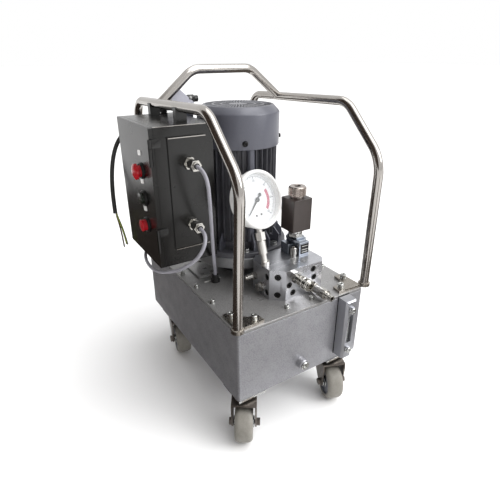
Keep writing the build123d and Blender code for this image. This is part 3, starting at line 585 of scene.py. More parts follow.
class Repeater:
    """Geometry node trees that repeat a pattern piece, each built once."""

    trees: ClassVar[dict[str, bpy.types.NodeTree]] = {}

    @staticmethod
    def start(name: str,
              sockets: Sequence[tuple[str, str]]) -> tuple[bpy.types.NodeTree, bpy.types.Node]:
        """Start a tree with its named inputs.

        Args:
            name: the tree's name.
            sockets: name and type of each input.

        Returns:
            The tree and its group input node.
        """
        tree = bpy.data.node_groups.new(name, "GeometryNodeTree")
        tree.interface.new_socket("Geometry", in_out="OUTPUT", socket_type="NodeSocketGeometry")
        for label, kind in sockets:
            tree.interface.new_socket(label, in_out="INPUT", socket_type=kind)
        return tree, add(tree, "NodeGroupInput")

    @staticmethod
    def end(tree: bpy.types.NodeTree, points: bpy.types.NodeSocket, turn: bpy.types.NodeSocket,
            source: bpy.types.Node) -> None:
        """End a tree: instances of the pattern, made real, with the finish set.

        Args:
            tree: the tree.
            points: the points that carry the instances.
            turn: each instance's rotation.
            source: the group input node.
        """
        pattern = add(tree, "GeometryNodeObjectInfo", {"Object": source.outputs["Pattern"]})
        placed = add(tree, "GeometryNodeInstanceOnPoints", {
            "Points": points, "Instance": pattern.outputs["Geometry"], "Rotation": turn})
        real = add(tree, "GeometryNodeRealizeInstances", {0: placed.outputs["Instances"]})
        dressed = add(tree, "GeometryNodeSetMaterial", {"Geometry": real.outputs[0],
                                                       "Material": source.outputs["Finish"]})
        add(tree, "NodeGroupOutput", {"Geometry": dressed.outputs["Geometry"]})

    @classmethod
    def ring_tree(cls) -> bpy.types.NodeTree:
        """Build the tree that sets a pattern on a circle.

        Returns:
            A tree with the inputs Pattern, Finish, Count, Radius, Start, Step, Wander and Seed.
        """
        if "ring" in cls.trees:
            return cls.trees["ring"]
        tree, source = cls.start("pattern on a ring", [
            ("Pattern", "NodeSocketObject"), ("Finish", "NodeSocketMaterial"),
            ("Count", "NodeSocketInt"), ("Radius", "NodeSocketFloat"), ("Start", "NodeSocketFloat"),
            ("Step", "NodeSocketFloat"), ("Wander", "NodeSocketFloat"), ("Seed", "NodeSocketInt")])
        given = source.outputs
        points = add(tree, "GeometryNodePoints", {"Count": given["Count"]}).outputs[0]
        index = add(tree, "GeometryNodeInputIndex").outputs[0]
        stray = add(tree, "FunctionNodeRandomValue", {"Seed": given["Seed"]}, data_type="FLOAT")
        centred = add(tree, "ShaderNodeMath", {0: stray.outputs["Value"], 1: 0.5},
                      operation="SUBTRACT").outputs[0]
        strayed = add(tree, "ShaderNodeMath", {0: centred, 1: given["Wander"]},
                      operation="MULTIPLY").outputs[0]
        stepped = add(tree, "ShaderNodeMath", {0: index, 1: given["Step"], 2: given["Start"]},
                      operation="MULTIPLY_ADD").outputs[0]
        angle = add(tree, "ShaderNodeMath", {0: stepped, 1: strayed}, operation="ADD").outputs[0]
        turn = add(tree, "ShaderNodeCombineXYZ", {"Z": angle}).outputs[0]
        reach = add(tree, "ShaderNodeCombineXYZ", {"X": given["Radius"]}).outputs[0]
        spot = add(tree, "ShaderNodeVectorRotate", {"Vector": reach, "Rotation": turn},
                   rotation_type="EULER_XYZ").outputs[0]
        moved = add(tree, "GeometryNodeSetPosition",
                    {"Geometry": points, "Position": spot}).outputs[0]
        cls.end(tree, moved, turn, source)
        cls.trees["ring"] = tree
        return tree

    @classmethod
    def spot_tree(cls) -> bpy.types.NodeTree:
        """Build the tree that sets a pattern on given points, its +Z along each point's own way.

        Returns:
            A tree with the inputs Geometry, Pattern, Finish, Turn and Seed.
        """
        if "spot" in cls.trees:
            return cls.trees["spot"]
        tree, source = cls.start("pattern on spots", [
            ("Geometry", "NodeSocketGeometry"), ("Pattern", "NodeSocketObject"),
            ("Finish", "NodeSocketMaterial"), ("Turn", "NodeSocketFloat"),
            ("Seed", "NodeSocketInt")])
        given = source.outputs
        points = add(tree, "GeometryNodeMeshToPoints", {"Mesh": given["Geometry"]}).outputs[0]
        way = add(tree, "GeometryNodeInputNamedAttribute", {"Name": "way"},
                  data_type="FLOAT_VECTOR").outputs[0]
        aimed = add(tree, "FunctionNodeAlignRotationToVector", {"Vector": way}, axis="Z").outputs[0]
        stray = add(tree, "FunctionNodeRandomValue", {"Seed": given["Seed"]},
                    data_type="FLOAT").outputs["Value"]
        spin = add(tree, "ShaderNodeMath", {0: stray, 1: given["Turn"]},
                   operation="MULTIPLY").outputs[0]
        own = add(tree, "ShaderNodeCombineXYZ", {"Z": spin}).outputs[0]
        turned = add(tree, "FunctionNodeRotateRotation", {"Rotation": aimed, "Rotate By": own},
                     rotation_space="LOCAL").outputs[0]
        cls.end(tree, points, turned, source)
        cls.trees["spot"] = tree
        return tree

    @staticmethod
    def real(carrier: bpy.types.Object, tree: bpy.types.NodeTree, pattern: bpy.types.Object,
             name: str, place: Matrix, values: dict[str, Any]) -> bpy.types.Object:
        """Run a tree on a carrier object and keep its result as a plain mesh.

        Args:
            carrier: the object that holds the modifier.
            tree: the geometry node tree.
            pattern: the piece to repeat, removed afterwards.
            name: the result's name.
            place: where the result goes.
            values: the tree's inputs by name.

        Returns:
            The new object, its place in its mesh.
        """
        modifier = carrier.modifiers.new("repeat", "NODES")
        modifier.node_group = tree
        given = {"Pattern": pattern, **values}
        for item in tree.interface.items_tree:
            if item.in_out == "INPUT" and item.name in given:
                modifier[item.identifier] = given[item.name]
        bpy.context.view_layer.update()
        seen = carrier.evaluated_get(bpy.context.evaluated_depsgraph_get())
        data = bpy.data.meshes.new_from_object(seen)
        data.transform(place)
        made = linked(name, data)
        bpy.data.objects.remove(carrier)
        bpy.data.objects.remove(pattern)
        return made


@dataclass
class RingOf:
    """A pattern repeated round an axis."""

    count: int
    radius_mm: float = 0.0
    start_deg: float = 0.0
    sweep_deg: float = 360.0
    wander_deg: float = 0.0
    seed: int = 7

    def build(self, pattern: Blank, name: str, place: Matrix, fitting: Fitting) -> bpy.types.Object:
        """Repeat the pattern and fit the result.

        Args:
            pattern: the pattern, made at the ring's own +X.
            name: the piece's name.
            place: the ring's place.
            fitting: the piece's finish and body.

        Returns:
            The fitted piece.
        """
        carrier = Blank().slab((0, 0, 0), (1, 1, 1)).object("ring carrier")
        steps = self.count if self.sweep_deg >= 360 else self.count - 1
        values = {"Finish": fitting.finish.material(), "Count": self.count,
                  "Radius": self.radius_mm * MM, "Start": math.radians(self.start_deg),
                  "Step": math.radians(self.sweep_deg / steps),
                  "Wander": math.radians(self.wander_deg), "Seed": self.seed}
        made = Repeater.real(carrier, Repeater.ring_tree(), pattern.object("ring pattern"), name,
                             place, values)
        return fitting.fit(made)


@dataclass
class SpotsOf:
    """A pattern repeated at given points, each with its own way."""

    points: list[Vector]
    ways: list[Vector]
    turn_deg: float = 0.0
    seed: int = 11

    def build(self, pattern: Blank, name: str, fitting: Fitting) -> bpy.types.Object:
        """Repeat the pattern at the points and fit the result.

        Args:
            pattern: the pattern, its +Z outwards.
            name: the piece's name.
            fitting: the piece's finish and body.

        Returns:
            The fitted piece.
        """
        data = bpy.data.meshes.new("spots")
        data.from_pydata([tuple(p) for p in self.points], [], [])
        way = data.attributes.new("way", "FLOAT_VECTOR", "POINT")
        way.data.foreach_set("vector", [c for w in self.ways for c in w])
        values = {"Finish": fitting.finish.material(), "Turn": math.radians(self.turn_deg),
                  "Seed": self.seed}
        made = Repeater.real(linked("spot carrier", data), Repeater.spot_tree(),
                             pattern.object("spot pattern"), name, Matrix.Identity(4), values)
        return fitting.fit(made)


# ---------------------------------------------------------------- studio

@dataclass
class Studio:
    """Floor, soft lights, sky and camera."""

    lens_mm: float = 29.98
    eye: tuple[float, float, float] = (-0.4068, -0.6870, 0.6746)
    gaze: tuple[float, float, float] = (0.4856, 0.7648, -0.4236)
    floor_size: float = 60.0
    sky_strength: float = 1.0
    daylight_strength: float = 1.6
    daylight_spread_deg: float = 55.0

    def camera(self) -> None:
        """Set the camera."""
        data = bpy.data.cameras.new("camera")
        data.sensor_width = 36.0
        data.lens = self.lens_mm
        data.clip_start, data.clip_end = 0.02, 200.0
        eye = linked("camera", data)
        eye.location = self.eye
        eye.rotation_mode = "QUATERNION"
        eye.rotation_quaternion = Vector(self.gaze).to_track_quat("-Z", "Y")
        bpy.context.scene.camera = eye

    @staticmethod
    def matt(name: str, tint: str, roughness: float, gleam: float) -> bpy.types.Material:
        """Make a plain material for the floor or a card.

        Args:
            name: the material's name.
            tint: its colour.
            roughness: its roughness.
            gleam: its specular level.

        Returns:
            The material.
        """
        made = bpy.data.materials.new(name)
        made.use_nodes = True
        given = made.node_tree.nodes["Principled BSDF"].inputs
        for label, value in (("Base Color", colour(tint)), ("Roughness", roughness),
                             ("Specular IOR Level", gleam)):
            given[label].default_value = value
        return made

    def floor(self) -> None:
        """Lay a plain pale floor."""
        half = self.floor_size / 2 / MM
        square = [(-half, -half), (half, -half), (half, half), (-half, half)]
        floor = Blank().extruded(square, -20, 0).object("floor")
        floor.data.materials.append(self.matt("pale matt floor", "#fbfbfb", 0.9, 0.1))

    def sky(self) -> None:
        """Hang an even white sky."""
        world = bpy.data.worlds.new("white sky")
        world.use_nodes = True
        back = world.node_tree.nodes["Background"]
        back.inputs["Color"].default_value = colour("#ffffff")
        back.inputs["Strength"].default_value = self.sky_strength
        bpy.context.scene.world = world

    def lamp(self, name: str, place: Sequence[float], target: Sequence[float],
             size: tuple[float, float], watts: float) -> None:
        """Hang one soft rectangular lamp.

        Args:
            name: the lamp's name.
            place: where it hangs, in metres.
            target: the point it faces.
            size: its width and height in metres.
            watts: its power.
        """
        data = bpy.data.lights.new(name, "AREA")
        data.shape = "RECTANGLE"
        data.size, data.size_y = size
        data.energy = watts
        lamp = linked(name, data)
        lamp.location = place
        lamp.rotation_mode = "QUATERNION"
        lamp.rotation_quaternion = (Vector(target) - Vector(place)).to_track_quat("-Z", "Y")

    def card(self, name: str, low: Sequence[float], high: Sequence[float], tint: str,
             flag: bool = False) -> None:
        """Set one dark card that the camera doesn't see.

        Args:
            name: the card's name.
            low: its lowest corner, in metres.
            high: its highest corner.
            tint: its colour.
            flag: whether it also holds back the sky's light, beyond showing in reflections.
        """
        card = Blank().slab([value / MM for value in low],
                            [value / MM for value in high]).object(name)
        card.data.materials.append(self.matt(name, tint, 1.0, 0.5))
        card.visible_camera = False
        card.visible_shadow = flag
        card.visible_diffuse = flag

    def daylight(self) -> None:
        """Add the broad, even light from the front right that whitens the floor."""
        data = bpy.data.lights.new("daylight", "SUN")
        data.energy = self.daylight_strength
        data.angle = math.radians(self.daylight_spread_deg)
        lamp = linked("daylight", data)
        lamp.rotation_mode = "QUATERNION"
        lamp.rotation_quaternion = Vector((-0.55, 0.62, -1.25)).to_track_quat("-Z", "Y")

    def build(self) -> None:
        """Set the whole studio."""
        scene = bpy.context.scene
        scene.view_settings.view_transform = "Standard"
        self.camera()
        self.floor()
        self.sky()
        self.daylight()
        self.lamp("key lamp", (1.5, -1.9, 1.7), (0.0, -0.1, 0.25), (1.1, 1.1), 24)
        self.lamp("top lamp", (0.5, 0.3, 2.6), (0.0, 0.0, 0.4), (1.6, 1.6), 14)
        self.card("brown card", (-3.2, -0.55, 0.0005), (-0.15, 1.6, 0.0015), "#2e241d")
        self.card("grey card", (0.30, -0.75, 0.0005), (3.2, 0.9, 0.0015), "#57524c")
        self.card("near card", (-0.10, -2.4, 0.0005), (0.25, -0.30, 0.0015), "#7b7774")
        self.card("brown flag", (-3.6, -5.0, 0.3), (-3.55, 4.5, 9.0), "#3a3029", flag=True)


# ---------------------------------------------------------------- cords

def strand(name: str, route: Sequence[Sequence[float]], width_mm: float, finish: Finish,
           facets: int, steps: int) -> bpy.types.Object:
    """Lay one round strand along a smooth route.

    Args:
        name: the strand's name.
        route: its points, in metres.
        width_mm: its diameter.
        finish: its sheath or insulation.
        facets: the roundness of its section.
        steps: the steps between two points of the route.

    Returns:
        The curve object.
    """
    data = bpy.data.curves.new(name, "CURVE")
    data.dimensions = "3D"
    spline = data.splines.new("NURBS")
    spline.points.add(len(route) - 1)
    for point, place in zip(spline.points, route):
        point.co = (*place, 1.0)
    spline.order_u = 3
    spline.use_endpoint_u = True
    spline.resolution_u = steps
    data.bevel_depth = width_mm / 2 * MM
    data.bevel_resolution = facets
    data.use_fill_caps = True
    data.materials.append(finish.material())
    made = linked(name, data)
    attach(made, "base")
    return made


@dataclass
class Cord:
    """A free cord on a smooth route of given points."""

    name: str
    node: str
    finish: Finish
    slot: str
    diameter_mm: float
    length: float
    far_end: str
    route: list[tuple[float, float, float]] = field(default_factory=list)

    def build(self, with_pieces: Sequence[bpy.types.Object] = ()) -> bpy.types.Object:
        """Args:
            with_pieces: the separate pieces on the cord; not used.

        Returns:
            The cord's curve object.
        """
        cable = strand(self.name, self.route, self.diameter_mm, self.finish, 6, 8)
        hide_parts(self.node)
        LOG.info("%s, %.3f m", self.name, self.length)
        return cable


@dataclass
class Wiring:
    """The two grey cables and the stripped supply cord."""

    sheath_mm: float = 6.6
    supply_mm: float = 8.6
    core_mm: float = 3.2
    upper: list[tuple[float, float, float]] = field(default_factory=lambda: [
        (-0.1151, -0.0643, 0.5080), (-0.1146, -0.0783, 0.5065), (-0.1126, -0.0893, 0.4970),
        (-0.1106, -0.0933, 0.4820), (-0.1086, -0.0913, 0.4640), (-0.1056, -0.0873, 0.4430),
        (-0.0996, -0.0763, 0.4100), (-0.0916, -0.0623, 0.3760), (-0.0826, -0.0463, 0.3380),
        (-0.0736, -0.0313, 0.3030), (-0.0676, -0.0213, 0.2840), (-0.0666, -0.0193, 0.2716)])
    lower: list[tuple[float, float, float]] = field(default_factory=lambda: [
        (-0.1151, -0.0643, 0.3970), (-0.1156, -0.0798, 0.3955), (-0.1191, -0.0918, 0.3890),
        (-0.1256, -0.0983, 0.3770), (-0.1346, -0.0953, 0.3600), (-0.1446, -0.0828, 0.3435),
        (-0.1551, -0.0613, 0.3260), (-0.1641, -0.0353, 0.3120), (-0.1736, -0.0103, 0.3015),
        (-0.1816, 0.0157, 0.2980), (-0.1826, 0.0487, 0.3000), (-0.1746, 0.0827, 0.3010),
        (-0.1586, 0.1147, 0.3020), (-0.1346, 0.1407, 0.3080), (-0.1106, 0.1567, 0.3250),
        (-0.0956, 0.1637, 0.3500), (-0.0886, 0.1647, 0.3840), (-0.0836, 0.1617, 0.4280),
        (-0.0826, 0.1557, 0.4780), (-0.0841, 0.1457, 0.5260), (-0.0846, 0.1437, 0.5650)])
    supply: list[tuple[float, float, float]] = field(default_factory=lambda: [
        (-0.1426, 0.1517, 0.5440), (-0.1434, 0.1697, 0.5440), (-0.1476, 0.1867, 0.5390),
        (-0.1576, 0.1987, 0.5260), (-0.1711, 0.2012, 0.5080), (-0.1841, 0.1922, 0.4840),
        (-0.1941, 0.1787, 0.4570), (-0.2006, 0.1667, 0.4290), (-0.2036, 0.1597, 0.4000),
        (-0.2046, 0.1557, 0.3760)])

    def core(self, name: str, finish: Finish, side: tuple[float, float],
             reach: float) -> bpy.types.Object:
        """Run one bare core on from the supply cord's end.

        Args:
            name: the core's name.
            finish: its insulation.
            side: how far it leans to each side, in metres.
            reach: how far it hangs below the sheath, in metres.

        Returns:
            The core's curve object.
        """
        end = Vector(self.supply[-1])
        route = []
        for out, down in ((0.0, 0.010), (0.04, -0.004), (0.30, -0.3 * reach), (0.62, -0.6 * reach),
                          (1.0, -reach)):
            bow = math.sin(math.pi * out) * 0.0016
            lean = 0.12 + out
            route.append((end.x + side[0] * lean + bow, end.y + side[1] * lean, end.z + down))
        core = strand(name, route, self.core_mm, finish, 4, 12)
        return core

    def boot(self) -> bpy.types.Object:
        """Slip the tapered strain relief over the supply cord where it leaves its gland.

        Returns:
            The boot's mesh object.
        """
        start, turn = Vector(self.supply[0]), (Vector(self.supply[1]) + Vector(self.supply[2])) / 2
        profile = [(4.0, -1.5), (7.0, -1.5), (7.3, -0.6), (7.2, 3.0)]
        for rib in range(4):
            z = 4.0 + rib * 4.4
            profile += [(6.4 - rib * 0.3, z), (6.4 - rib * 0.3, z + 1.2),
                        (6.9 - rib * 0.35, z + 1.8), (6.8 - rib * 0.35, z + 3.6)]
        profile += [(5.4, 22.0), (4.7, 22.5), (4.0, 22.3)]
        sleeve = Blank(looking(start, turn - start)).turned(profile, steps=40, ring=True)
        return Fitting(BLACK_NYLON, slot="black_cable").fit(sleeve.object("cord_boot"))

    def build(self) -> None:
        """Lay every cable."""
        Cord("upper_cable", "cable_upper", GREY_SHEATH, "grey_cable", self.sheath_mm, 0.272,
             "object", self.upper).build()
        Cord("lower_cable", "cable_lower", GREY_SHEATH, "grey_cable", self.sheath_mm, 0.621,
             "object", self.lower).build()
        cores = [self.core("core_green", CORE_GREEN, (0.0125, -0.0030), 0.072),
                 self.core("core_brown", CORE_BROWN, (0.0085, 0.0020), 0.080),
                 self.core("core_grey", CORE_GREY, (0.0155, 0.0015), 0.076), self.boot()]
        Cord("mains_cord", "supply_cord", BLACK_SHEATH, "black_cable", self.supply_mm, 0.224,
             "bare", self.supply).build(cores)


# ---------------------------------------------------------------- tank and frame

@dataclass
class OilTank:
    """Tank, lid, hatch, drain and the blank strip on the lid."""

    strip_mm: tuple[float, float, float] = (38.0, 3.2, 0.8)
    boss_wall_mm: float = 1.2

    def build(self) -> None:
        """Dress and finish the tank."""
        eased("tank_shell", "tank_body", Fitting(TANK_ENAMEL, slot="tank_paint", edge_mm=0.8))
        eased("lid_plate", "tank_lid", Fitting(LID_ENAMEL, slot="lid_paint", edge_mm=0.9))
        eased("hatch_plate", "filler_hatch", Fitting(LID_ENAMEL, slot="iron", edge_mm=0.5))
        self.drain()
        self.name_strip()

    def drain(self) -> None:
        """Make the drain: a painted weld boss with a socketed plug in it."""
        low, high = box_mm("drain_plug")
        mid = middle("drain_plug")
        place = looking((mid.x, 0.0, mid.z), AHEAD)
        out, face = -low.y, -box_mm("tank_shell")[0].y
        r = (high.x - low.x) / 2 + self.boss_wall_mm
        weld = [(0, face - 3), (r, face - 3), (r + 0.6, face), (r, face + 1), (r, face + 11.5),
                (r - 1.4, face + 13), (8.4, face + 13), (8.0, face + 12.4), (0, face + 12.4)]
        boss = Blank(place).turned(weld, 48)
        Fitting(TANK_ENAMEL, slot="zinc", stands_for=("drain_plug",)).fit(boss.object("drain_boss"))
        socket = [(0, face + 12), (8.6, face + 12), (8.6, out - 1.2), (7.6, out), (4.2, out),
                  (3.9, out - 0.4), (3.9, out - 3.4), (0, out - 3.6)]
        plug = Blank(place).turned(socket, 32)
        Fitting(ZINC, slot="zinc").fit(plug.object("drain_screw"))

    def name_strip(self) -> None:
        """Fix a blank strip on the lid in front of the hatch."""
        low, high = box_mm("hatch_plate")
        wide, deep, thick = self.strip_mm
        x, y = (low.x + high.x) / 2, low.y - 18.5
        strip = Blank().slab((x - wide / 2, y - deep / 2, low.z),
                             (x + wide / 2, y + deep / 2, low.z + thick))
        Fitting(LEGEND_PLATE, slot="zinc", edge_mm=0.2).fit(strip.object("name_strip"))


@dataclass
class TubeFrame:
    """Polished hoops and push bar, their feet and weld beads."""

    bead_mm: float = 1.5
    beads: int = 34

    def build(self) -> None:
        """Dress the tubes and lay the welds."""
        for node in ("hoop_left", "hoop_right", "handle_bar"):
            dress(node, POLISHED_TUBE)
        feet = eased("frame_brackets", "frame_feet",
                     Fitting(WELD_STEEL, slot="stainless", edge_mm=0.6))
        feet.data.materials.append(BOX_ENAMEL.material())
        for face in feet.data.polygons:
            face.material_index = int(face.center.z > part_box("control_box")[0].z)
        for side in ("left", "right"):
            low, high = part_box(f"hoop_{side}")
            for end, y in (("front", low.y), ("rear", high.y)):
                self.foot_weld(side, end, y)

    def foot_weld(self, side: str, end: str, y: float) -> None:
        """Lay a bead round one foot of a hoop.

        Args:
            side: the hoop's side.
            end: which of its feet.
            y: that end of the hoop's box.
        """
        tube = frame["nodes"][f"hoop_{side}"].data.vertices
        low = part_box(f"hoop_{side}")[0]
        near = [v.co for v in tube if v.co.z < low.z + 0.002 and abs(v.co.y - y) < 0.04]
        centre = sum(near, Vector()) / len(near)
        radius = max((Vector((p.x, p.y, 0)) - Vector((centre.x, centre.y, 0))).length
                     for p in near) / MM
        bead = Blank().turned([(0, -self.bead_mm), (self.bead_mm * 0.8, -self.bead_mm * 0.6),
                               (self.bead_mm, 0), (self.bead_mm * 0.7, self.bead_mm * 0.7),
                               (0, self.bead_mm)], steps=8)
        place = Matrix.Translation((centre.x, centre.y, low.z + 0.0004))
        RingOf(self.beads, radius + 0.5, wander_deg=3.0, seed=5).build(
            bead, f"weld_{side}_{end}", place, Fitting(WELD_STEEL, slot="stainless", smooth_deg=60))


@dataclass
class ScrewSet:
    """Every cap screw of the lid, the feet and the motor, one pattern for each size."""

    socket_share: float = 0.42
    lid_screw_limit: float = 0.0098
    foot_screw_limit: float = 0.0125
    lying_limit: float = 0.0012

    def head(self, diameter: float, height: float) -> Blank:
        """Make one socket cap screw's head, its seat at the origin.

        Args:
            diameter: the head's diameter.
            height: the head's height.

        Returns:
            The head as a blank.
        """
        r, s = diameter / 2, diameter * self.socket_share / 2
        blank = Blank().turned([(0, 0), (r, 0), (r, height - 0.7), (r - 0.7, height),
                                (s + 0.5, height), (s, height - 0.5), (s, height * 0.45),
                                (0, height * 0.4)], steps=24)
        return blank.turned([(r + 0.1, 0.0), (r + 1.3, 0.0), (r + 1.3, 0.6), (r + 0.1, 0.6)],
                            steps=24, ring=True)

    def build(self) -> None:
        """Sort the CAD node's solids by size and direction and replace them."""
        centre = joint_place("motor_spin")[0]
        lid_points, foot_points, side_points, side_ways, bolt_points = [], [], [], [], []
        sizes = {}
        for low, high in islands("cap_screws"):
            span, mid = high - low, (low + high) / 2
            if abs(span.x - span.y) > self.lying_limit:
                out = Vector((mid.x - centre.x, mid.y - centre.y, 0.0))
                side_points.append(mid - out.normalized() * 0.002)
                side_ways.append(out.normalized())
                continue
            group = bolt_points
            if span.x < self.foot_screw_limit:
                group = lid_points if span.x < self.lid_screw_limit else foot_points
            group.append(Vector((mid.x, mid.y, low.z)))
            sizes[id(group)] = (span.x / MM, span.z / MM)
        LOG.info("screws: lid %d, feet %d, side %d, bolts %d", len(lid_points), len(foot_points),
                 len(side_points), len(bolt_points))
        node = ("cap_screws",)
        for points, name in ((lid_points, "lid_screws"), (foot_points, "foot_screws")):
            if points:
                wide, tall = sizes[id(points)]
                SpotsOf(points, [UP] * len(points), 360, 3).build(
                    self.head(wide, tall), name, Fitting(ZINC, slot="zinc", stands_for=node))
        if side_points:
            SpotsOf(side_points, side_ways, 360, 4).build(
                self.head(8.4, 5.4), "cowl_screws", Fitting(BLACK_OXIDE, slot="zinc",
                                                            stands_for=node))
        if bolt_points:
            wide, tall = sizes[id(bolt_points)]
            bolt = Blank().extruded(polygon(6, wide * 0.93), 1.2, tall)
            bolt.turned([(0, 0), (wide * 0.56, 0), (wide * 0.56, 1.2), (0, 1.2)], steps=24)
            SpotsOf(bolt_points, [UP] * len(bolt_points), 60, 9).build(
                bolt, "flange_bolts", Fitting(ZINC, slot="zinc", stands_for=node, edge_mm=0.3))


# ---------------------------------------------------------------- motor

@dataclass
class Motor:
    """Vertical motor: flange, finned frame, cowl, terminal box."""

    fins: int = 36
    fin_foot_mm: float = 2.6
    fin_tip_mm: float = 1.7
    core_mm: float = 66.0
    wall_mm: float = 1.6
    crown_mm: float = 12.0
    slot_rings: tuple[tuple[float, float, int], ...] = ((18.0, 31.0, 28), (35.0, 47.0, 48),
                                                        (51.0, 63.5, 66))

    def build(self) -> None:
        """Make every outer piece of the motor and dress what is inside."""
        self.place = upright(joint_place("motor_spin")[0])
        self.cowl()
        self.body()
        self.flange()
        self.terminal()
        dress("motor_stator", GREY_IRON)
        dress("motor_rotor", GROUND_STEEL)
        dress("motor_fan", BLACK_NYLON)
        dress("coupling", GROUND_STEEL)

    def cowl(self) -> None:
        """Make the sheet cowl, its slotted top and the grille's bars."""
        low, high = box_mm("fan_cowl")
        r, z0, z1 = (high.x - low.x) / 2, low.z, high.z
        c, w = self.crown_mm, self.wall_mm
        rim = r - c - 4.5
        shell = [(r - w, z0), (r - 0.4, z0), (r, z0 + 0.5), (r, z1 - c - 1.6),
                 (r - 0.5, z1 - c - 0.4), (r - 1.5, z1 - c + 0.9), (r - c + 1.2, z1 - 1.3),
                 (r - c - 0.2, z1 - 0.3), (r - c - 1.8, z1), (rim, z1), (rim, z1 - w),
                 (r - c - 2.0, z1 - w), (r - c - 0.6, z1 - w - 0.6), (r - w - 1.0, z1 - c),
                 (r - w, z1 - c - 1.8)]
        blank = Blank(self.place).turned(shell, steps=128, ring=True)
        edge = 0.0
        for inner, outer, _ in self.slot_rings:
            blank.turned([(edge, z1 - w), (inner, z1 - w), (inner, z1), (edge, z1)], 96,
                         ring=edge > 0)
            edge = outer
        if edge < rim:
            blank.turned([(edge, z1 - w), (rim, z1 - w), (rim, z1), (edge, z1)], 96, ring=True)
        fitting = Fitting(COWL_PAINT, slot="cowl_paint", stands_for=("fan_cowl",))
        fitting.fit(blank.object("motor_cowl"))
        for k, (inner, outer, count) in enumerate(self.slot_rings):
            web_in, web_out = math.pi * inner / count * 0.8, math.pi * outer / count * 0.9
            outline = [(inner - 0.4, -web_in / 2), (outer + 0.4, -web_out / 2),
                       (outer + 0.4, web_out / 2), (inner - 0.4, web_in / 2)]
            bar = Blank().extruded(outline, z1 - w, z1)
            fitting = Fitting(COWL_PAINT, slot="cowl_paint")
            RingOf(count, start_deg=3 * k).build(bar, f"cowl_grille_{k}", self.place, fitting)

    def body(self) -> None:
        """Make the frame's core, its fins and its four bosses."""
        z0, z1 = (corner.z for corner in box_mm("motor_housing"))
        low, high = box_mm("fan_cowl")
        top, tip, core = low.z + 6, (high.x - low.x) / 2 - 4.0, self.core_mm
        frame_side = [(0, z0 + 1), (core - 4, z0 + 1), (core - 4, z0), (core, z0), (core, z1 - 2),
                      (core - 3, z1), (0, z1)]
        blank = Blank(self.place).turned(frame_side, 96)
        fitting = Fitting(CAST_PAINT, slot="motor_paint", stands_for=("motor_housing",))
        fitting.fit(blank.object("motor_frame"))
        foot, end = self.fin_foot_mm / 2, self.fin_tip_mm / 2
        fin = Blank().extruded([(core - 2, -foot), (tip - 0.7, -end), (tip, -end * 0.4),
                                (tip, end * 0.4), (tip - 0.7, end), (core - 2, foot)], z0 + 4, top)
        fitting = Fitting(CAST_PAINT, slot="motor_paint")
        RingOf(self.fins, start_deg=5, wander_deg=0.3).build(fin, "motor_fins", self.place, fitting)
        boss = Blank().extruded([(core - 3, -7), (tip - 2.5, -7), (tip + 1.4, -3.5),
                                 (tip + 1.4, 3.5), (tip - 2.5, 7), (core - 3, 7)], z0 + 2, top - 6)
        fitting = Fitting(COWL_PAINT, slot="motor_paint", edge_mm=1.2)
        RingOf(4, start_deg=-12).build(boss, "motor_bosses", self.place, fitting)

    def flange(self) -> None:
        """Make the end shield with its ribs, and the pale bell flange."""
        low, high = box_mm("motor_flange")
        r, z0, z1 = (high.x - low.x) / 2, low.z, high.z
        disc = [(0, z0 + 1), (26, z0 + 1), (26, z0), (r - 0.8, z0), (r, z0 + 0.8), (r, z0 + 9.6),
                (r - 1.4, z0 + 11), (73, z0 + 11), (70.5, z0 + 13), (70, z0 + 24), (0, z0 + 24)]
        blank = Blank(self.place).turned(disc, steps=128)
        fitting = Fitting(CAST_PAINT, slot="motor_paint", stands_for=("motor_flange",))
        fitting.fit(blank.object("end_shield"))
        rib_side = [(68, z0 + 9), (91.5, z0 + 9), (91.5, z1 - 15), (89, z1 - 12), (79.5, z1),
                    (78.6, z1), (78.6, z0 + 25), (68, z0 + 25)]
        rib = Blank().extruded(rib_side, -1.8, 1.8, Matrix.Rotation(math.pi / 2, 4, "X"))
        fitting = Fitting(COWL_PAINT, slot="motor_paint", edge_mm=0.7)
        RingOf(16, start_deg=11).build(rib, "shield_ribs", self.place, fitting)
        z0, z1 = (corner.z for corner in box_mm("bell_housing"))
        bell = [(32, z0), (49, z0), (50, z0 + 1), (50, z1 - 25), (52.5, z1 - 23), (98, z1 - 23),
                (100, z1 - 21), (100, z1 - 1.5), (98.6, z1), (32, z1)]
        blank = Blank(self.place).turned(bell, steps=128, ring=True)
        fitting = Fitting(CAST_ALLOY, slot="cast_light", stands_for=("bell_housing",))
        fitting.fit(blank.object("bell_flange"))

    def terminal(self) -> None:
        """Finish the terminal box, its pale lid, the plastic glands and the lid's screws."""
        eased("terminal_box", "terminal_case", Fitting(COWL_PAINT, slot="motor_paint", edge_mm=0.8))
        eased("terminal_lid", "terminal_cover", Fitting(LILAC_ENAMEL, slot="lilac_grey",
                                                        edge_mm=0.8))
        eased("plastic_glands", "nylon_glands", Fitting(BLACK_NYLON, slot="black_plastic",
                                                        edge_mm=0.4))
        low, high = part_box("terminal_lid")
        spots = [Vector((x, low.y, z)) for x in (low.x + 0.007, high.x - 0.007)
                 for z in (low.z + 0.006, low.z + 0.021)]
        screw = Blank().turned([(0, -0.5), (3.2, -0.5), (3.2, 0.8), (2.2, 1.7), (0, 1.9)], steps=20)
        SpotsOf(spots, [AHEAD] * 4, 180, 2).build(screw, "cover_screws", Fitting(ZINC, slot="zinc"))


# ---------------------------------------------------------------- hydraulics

@dataclass
class Pump:
    """The axial piston pump in the tank and its pipes."""

    def build(self) -> None:
        """Dress the pump's CAD parts."""
        for node, finish in (("pump_housing", GREY_IRON), ("swash_plate", GROUND_STEEL),
                             ("rotating_group", GROUND_STEEL), ("pump_shaft", GROUND_STEEL),
                             ("pump_pipes", ZINC)):
            dress(node, finish)


